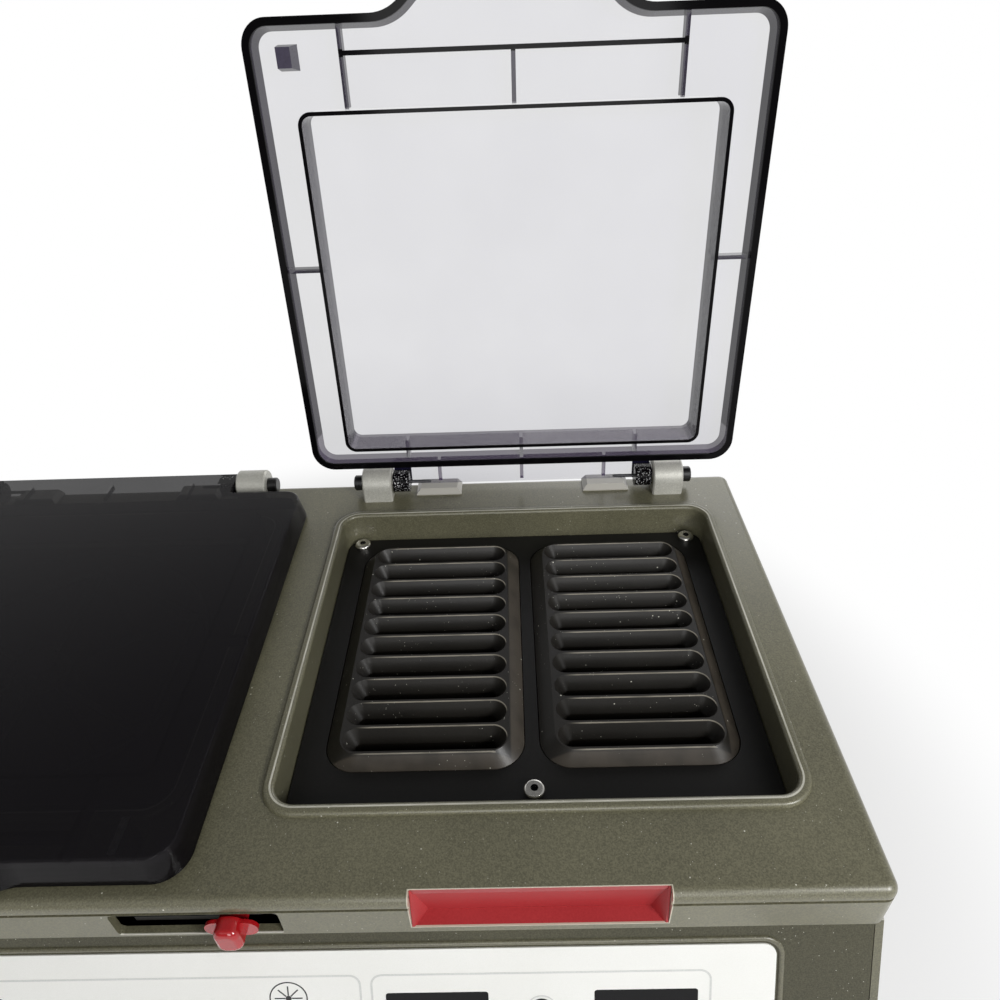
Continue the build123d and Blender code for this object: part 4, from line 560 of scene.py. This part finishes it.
def turned(profile, foot, axis, steps=32):
    """Profile (r, h) turned about an axis: point = foot + axis * h + r * (cos a, sin a) across it."""
    axis = np.array(axis, dtype=float)
    first = np.cross(axis, np.eye(3)[np.argmin(abs(axis))])
    first /= np.linalg.norm(first)
    second = np.cross(axis, first)
    angle = np.arange(steps)[:, None, None] * 2 * pi / steps
    radius, height = np.array(profile)[None, :, :1], np.array(profile)[None, :, 1:]
    across = np.cos(angle) * first + np.sin(angle) * second
    points = np.array(foot) + axis * height + radius * across
    return points.reshape(-1, 3), grid_faces(steps, len(profile), True)


def add_piece(name, shapes, finish, body):
    """Joins shapes into one mesh without doubled points, faces outwards, which rides on a body."""
    starts = np.cumsum([0] + [len(points) for points, _ in shapes])
    points = np.concatenate([points for points, _ in shapes])
    faces = np.concatenate([some + start for (_, some), start in zip(shapes, starts)])
    mesh = bpy.data.meshes.new(name)
    mesh.from_pydata(points.tolist(), [], faces.tolist())
    work = bmesh.new()
    work.from_mesh(mesh)
    bmesh.ops.remove_doubles(work, verts=work.verts, dist=1e-6)
    bmesh.ops.recalc_face_normals(work, faces=work.faces)
    work.to_mesh(mesh)
    work.free()
    mesh.shade_smooth()
    mesh.set_sharp_from_angle(angle=radians(40))
    mesh.materials.append(finish)
    piece = bpy.data.objects.new(name, mesh)
    scene.collection.objects.link(piece)
    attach(piece, body)
    print(name, len(mesh.polygons), "faces")


# %% [markdown]
# The white sheet is printed: a pale outline round each group of windows and keys, a
# small sign of a spinning drum between the groups, and a ring round every key. Ink
# could be a mask in the sheet's colour, but a thin raised line keeps a sharp edge
# at any distance, so each line is a flat box profile carried along its path.

# %% Places on the sloping panel
LEAN = radians(25)
PANEL_TOP = np.array([0.0, LIP_Y + 2 * MM, DECK_Z - 24 * MM])
ACROSS = np.array([1.0, 0.0, 0.0])
DOWN = np.array([0.0, -sin(LEAN), -cos(LEAN)])
OUT = np.array([0.0, -cos(LEAN), sin(LEAN)])
SHEET_FACE, KEY_FACE = 0.5 * MM, 2.1 * MM
INK = 0.05 * MM


def on_panel(places, lift):
    """Points of the panel from (across, down) in metres, raised along its outward normal."""
    return PANEL_TOP + places[:, :1] * ACROSS + places[:, 1:] * DOWN + lift * OUT


def sideways(places, closed):
    """Directions across a path on the panel: the path's own direction turned by a right angle."""
    if closed:
        along = np.roll(places, -1, axis=0) - np.roll(places, 1, axis=0)
    else:
        along = np.gradient(places, axis=0)
    along = along / np.linalg.norm(along, axis=1, keepdims=True)
    return along[:, 1:] * ACROSS - along[:, :1] * DOWN


def inked(places, width, closed, face=SHEET_FACE):
    """A printed line: a flat box profile, half above the face, carried along its path."""
    half = width / 2
    profile = np.array([[-half, -INK], [half, -INK], [half, INK], [-half, INK]])
    return carried(on_panel(places, face), sideways(places, closed), OUT, profile, closed)


def rounded_loop(low, high, radius, steps=10):
    """Closed rounded rectangle: four quarter circles, each about a point a radius inside its corner."""
    quarter = np.linspace(0, pi / 2, steps)
    angle = (np.arange(4)[:, None] * pi / 2 + quarter).ravel()
    signs = np.array([[1, 1], [-1, 1], [-1, -1], [1, -1]]).repeat(steps, axis=0)
    low, high = np.array(low) * MM, np.array(high) * MM
    corner = (low + high) / 2 + signs * ((high - low) / 2 - radius * MM)
    return corner + radius * MM * np.column_stack([np.cos(angle), np.sin(angle)])


def arc(middle, radius, start, end, steps=48):
    """Points of a circle's arc, in degrees, about a middle given in millimetres."""
    angle = np.radians(np.linspace(start, end, steps))
    return (np.array(middle) + radius * np.column_stack([np.cos(angle), np.sin(angle)])) * MM


def bars(middle, ends, width, face=SHEET_FACE):
    """Straight strokes about a middle, each from one (across, down) to another, in millimetres."""
    lines = [(np.array(middle) + np.array(pair)) * MM for pair in ends]
    return [inked(line, width * MM, False, face) for line in lines]


# %% Printed outlines and the drum sign
pale_ink = plain_finish("pale ink", (206, 207, 204), (220, 221, 218), 0.45, 1500.0, 0.01)
dark_ink = plain_finish("dark ink", (24, 24, 26), (38, 38, 40), 0.45, 1500.0, 0.01)
GROUPS = [((59.0, 19.2), (183.5, 74.0)), ((-183.5, 19.2), (54.8, 74.0))]
GROUP_R, OUTLINE_W = 4.0, 0.8 * MM
outlines = [inked(rounded_loop(low, high, GROUP_R), OUTLINE_W, True) for low, high in GROUPS]
add_piece("group_outlines", outlines, pale_ink, "case")

DRUM_AT, DRUM_R, HUB_R = (27.9, 28.6), 6.9, 1.1 * MM
SPOKE_FROM, SPOKE_TO, SPOKE_W = 1.2, 5.2, 0.5
turns = np.radians(np.arange(8) * 45.0)
rays = np.stack([np.cos(turns), np.sin(turns)], axis=-1)
spokes = np.stack([rays * SPOKE_FROM, rays * SPOKE_TO], axis=1)
hub_at = on_panel(np.array([DRUM_AT]) * MM, SHEET_FACE)[0]
hub = turned([[0, -INK], [HUB_R, -INK], [HUB_R, INK], [0, INK]], hub_at, OUT)
ring = inked(arc(DRUM_AT, DRUM_R, 165, 455), SPOKE_W * MM, False)
drum = [ring, hub, *bars(DRUM_AT, spokes, SPOKE_W)]
add_piece("drum_sign", drum, dark_ink, "case")

# %% Rings and signs of the keys
KEYS = {
    "key_timer_left": (83.0, 58.0), "key_timer_mid": (121.5, 34.5), "key_timer_right": (160.0, 58.0),
    "key_spin_less": (-130.0, 58.0), "key_spin_start": (-110.0, 58.0), "key_spin_more": (-90.0, 58.0),
}
KEY_RING_R, KEY_RING_W, SIGN_W = 5.3, 0.5 * MM, 0.6
LEVEL, UPRIGHT = [[-1.7, 0], [1.7, 0]], [[0, -1.7], [0, 1.7]]
START = [[[-1.1, -1.6], [1.5, 0]], [[1.5, 0], [-1.1, 1.6]], [[-1.1, 1.6], [-1.1, -1.6]]]
SIGNS = {
    "key_timer_left": START, "key_timer_mid": [UPRIGHT], "key_timer_right": START,
    "key_spin_less": [LEVEL], "key_spin_start": START, "key_spin_more": [LEVEL, UPRIGHT],
}
rings = [inked(arc(middle, KEY_RING_R, 0, 352.5), KEY_RING_W, True) for middle in KEYS.values()]
add_piece("key_rings", rings, pale_ink, "case")
for key, strokes in SIGNS.items():
    ink = pale_ink if key == "key_timer_mid" else dark_ink
    add_piece(key + "_sign", bars(KEYS[key], strokes, SIGN_W, KEY_FACE), ink, key)

# %% [markdown]
# The sheet lies inside a low rolled rim that catches the light along its top and
# its right end. The rim is a half round carried round the sheet's outline.

# %% Rim of the sheet
RIM_R, RIM_SINK = 1.1 * MM, 0.15
half_turn = np.linspace(0, pi, 9)
half_round = np.column_stack([np.cos(half_turn), np.sin(half_turn) - RIM_SINK]) * RIM_R
rim_path = rounded_loop((-209.0, 6.5), (209.0, 80.5), 7.0)
rim = carried(on_panel(rim_path, 0.0), sideways(rim_path, True), OUT, half_round, True)
add_piece("sheet_rim", [rim], case_paint.material, "case")

# %% [markdown]
# Each lid turns on two short pins. A bright washer fills the gap between the lid's
# knuckle and the hinge block, and the pin's tapered tail stands out of the knuckle
# on its inner side. Both are profiles turned about the hinge's axis.

# %% Washers and tails of the hinge pins
WASHER_AT = 75.65 * MM
washer = np.array([[2.7, -0.22], [6.7, -0.22], [6.9, 0.0], [6.7, 0.22], [2.7, 0.22]]) * MM
tail = np.array([[0, -0.5], [0.95, -0.5], [0.9, 11.0], [0.7, 12.2], [0, 12.6]]) * MM
ends = [(side * BAY_X, end) for side in (-1, 1) for end in (-1, 1)]
washers = [turned(washer, (x + end * WASHER_AT, HINGE_Y, HINGE_Z), (end, 0, 0)) for x, end in ends]
tails = [turned(tail, (x + end * KNUCKLE_IN, HINGE_Y, HINGE_Z), (-end, 0, 0)) for x, end in ends]
add_piece("hinge_washers", washers, finishes["bright_steel"], "case")
add_piece("pin_tails", tails, finishes["motor_metal"], "case")

# %% [markdown]
# The rear panel is held by small domed screws, and so is the fan behind its slots. A
# domed head is an arc turned about the screw's axis, and the shade in its
# cross recess is painted as two short dark strokes set into the dome.

# %% Screws of the rear panel
FAN_X, FAN_Z, FAN_HALF = 150, 70, 25
HEAD_R, HEAD_H, HEAD_SINK = 3.1 * MM, 1.5 * MM, 0.3 * MM
SCREW_PLACES = [(FAN_X + x, FAN_Z + z) for x in (-FAN_HALF, FAN_HALF) for z in (-FAN_HALF, FAN_HALF)]
SCREW_PLACES += [(x, z) for x in (-232, -78, 78, 232) for z in (20, 150)]
dome_turn = np.linspace(0, pi / 2, 7)
dome = np.column_stack([HEAD_R * np.cos(dome_turn), HEAD_H * np.sin(dome_turn)])
dome = np.concatenate([[[0, -HEAD_SINK], [HEAD_R, -HEAD_SINK]], dome])
BACK = np.array([0.0, 1.0, 0.0])
RISE = np.array([0.0, 0.0, 1.0])
stroke = np.array([[-0.35, 0.9], [0.35, 0.9], [0.35, 1.52], [-0.35, 1.52]]) * MM


def recess(at, way, side):
    """One stroke of a cross: a box profile carried from one side of the screw's middle to the other."""
    path = np.array(at) + np.array([[-1.5 * MM], [1.5 * MM]]) * way
    return carried(path, np.stack([side, side]), BACK, stroke, False)


rear_panel_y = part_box("rear_panel")[1].y
screws_at = [np.array([x * MM, rear_panel_y, z * MM]) for x, z in SCREW_PLACES]
heads = [turned(dome, at, BACK, 24) for at in screws_at]
ways = ((ACROSS, RISE), (RISE, ACROSS))
crosses = [recess(at, way, side) for at in screws_at for way, side in ways]
add_piece("rear_screws", heads, finishes["bright_steel"], "case")
# painted shade: dark strokes stand for the shade inside each cross recess
add_piece("rear_screw_recesses", crosses, finishes["pin_black"], "case")

# %% [markdown]
# The unit stands on a pale floor in a white room. Strong lamps would bleach the
# paint, so the white is shown to the camera, to gloss and to what is seen through
# the lids, while the light that the room gives is less. The floor turns plain
# white away from the unit, and keeps its shadow near it.

# %% Floor and room
ROOM_LIGHT = 0.2
FLOOR_HALF = 8.0
SHADOW_REACH, WHITE_FROM = 0.3, 0.46
PALE = 0.45
SHOWN_TO = ("Is Camera Ray", "Is Glossy Ray", "Is Transmission Ray")


def shown_rays(wire):
    """1 for a ray from the camera, for one in gloss and for one through clear things, in that order."""
    return [wire.node("ShaderNodeLightPath", {}, {}, out=name) for name in SHOWN_TO]


def floor_finish():
    """A pale floor mixed with plain white by the distance from the unit, for the rays that show it."""
    made = Finish("floor", Roughness=0.9, Base_Color=(0.88, 0.88, 0.88))
    x, y, _ = made.place.axes()
    far = (x * x + y * y).rise(SHADOW_REACH ** 2, WHITE_FROM ** 2)
    seen, gloss, clear = shown_rays(made.place)
    white = made.place.node("ShaderNodeEmission", {}, {"Color": (1.0, 1.0, 1.0, 1.0), "Strength": 1.0})
    share = (far * (1 - PALE) + PALE) * seen.larger(gloss).larger(clear)
    shaders = {0: share, 1: Wire(made.tree, made.shader.outputs[0]), 2: white}
    both = made.place.node("ShaderNodeMixShader", {}, shaders)
    made.tree.links.new(both.socket, made.tree.nodes["Material Output"].inputs["Surface"])
    return made.material


def room():
    """White to the camera; in gloss bright low at the back, on the right and high in front."""
    made = bpy.data.worlds.new("room")
    made.use_nodes = True
    tree = made.node_tree
    direction = Wire(tree, tree.nodes.new("ShaderNodeTexCoord").outputs["Generated"])
    seen, gloss, clear = shown_rays(direction)
    x, y, z = direction.axes()
    back = y.rise(0.0, 0.9) * z.rise(0.85, 0.45)
    right = x.rise(0.1, 0.85) * 0.4
    front = z.near(0.68, 0.14) * y.rise(-0.3, -0.6) * 0.7
    gloss = gloss * (back.larger(right).larger(front) * 0.9 + 0.1)
    strength = seen.larger(clear).larger(gloss).larger(ROOM_LIGHT)
    background = tree.nodes["Background"]
    background.inputs["Color"].default_value = (1.0, 1.0, 1.0, 1.0)
    tree.links.new(strength.socket, background.inputs["Strength"])
    return made


scene.world = room()
corners = np.array([[-1, -1, 0], [1, -1, 0], [1, 1, 0], [-1, 1, 0]]) * FLOOR_HALF
floor_mesh = bpy.data.meshes.new("floor")
floor_mesh.from_pydata(corners.tolist(), [], [(0, 1, 2, 3)])
floor_mesh.materials.append(floor_finish())
floor = bpy.data.objects.new("floor", floor_mesh)
scene.collection.objects.link(floor)
print("white room and a pale floor", 2 * FLOOR_HALF, "m wide")

# %% [markdown]
# Three lamps are enough. A small one from the right, a little in front, gives the
# slanting shadow in the well. A wide low one in front lights the sheet and the rear
# wall of the well, and one behind lifts the deck's rear edge and the rear panel.


# %% Lamps
def soft_lamp(name, at, towards, size, watts):
    """A square lamp at a place, facing another place, in metres."""
    lamp = bpy.data.objects.new(name, bpy.data.lights.new(name, "AREA"))
    lamp.data.size = size
    lamp.data.energy = watts
    back = np.array(at) - np.array(towards)
    back = back / np.linalg.norm(back)
    side = np.cross(RISE, back)
    side = side / np.linalg.norm(side)
    lamp.matrix_world = placed(np.column_stack([side, np.cross(back, side), back]), at)
    lamp.visible_camera = False
    scene.collection.objects.link(lamp)


soft_lamp("side lamp", (0.69, -0.57, 0.66), (0.1, 0.0, 0.18), 0.22, 4.8)
soft_lamp("front lamp", (0.15, -1.45, 0.75), (0.05, -0.05, 0.15), 0.7, 6.4)
soft_lamp("back lamp", (0.5, 1.35, 0.8), (0.0, 0.1, 0.15), 0.8, 4.0)
scene.view_settings.view_transform = "Standard"
print("a side lamp, a front lamp and a back lamp")
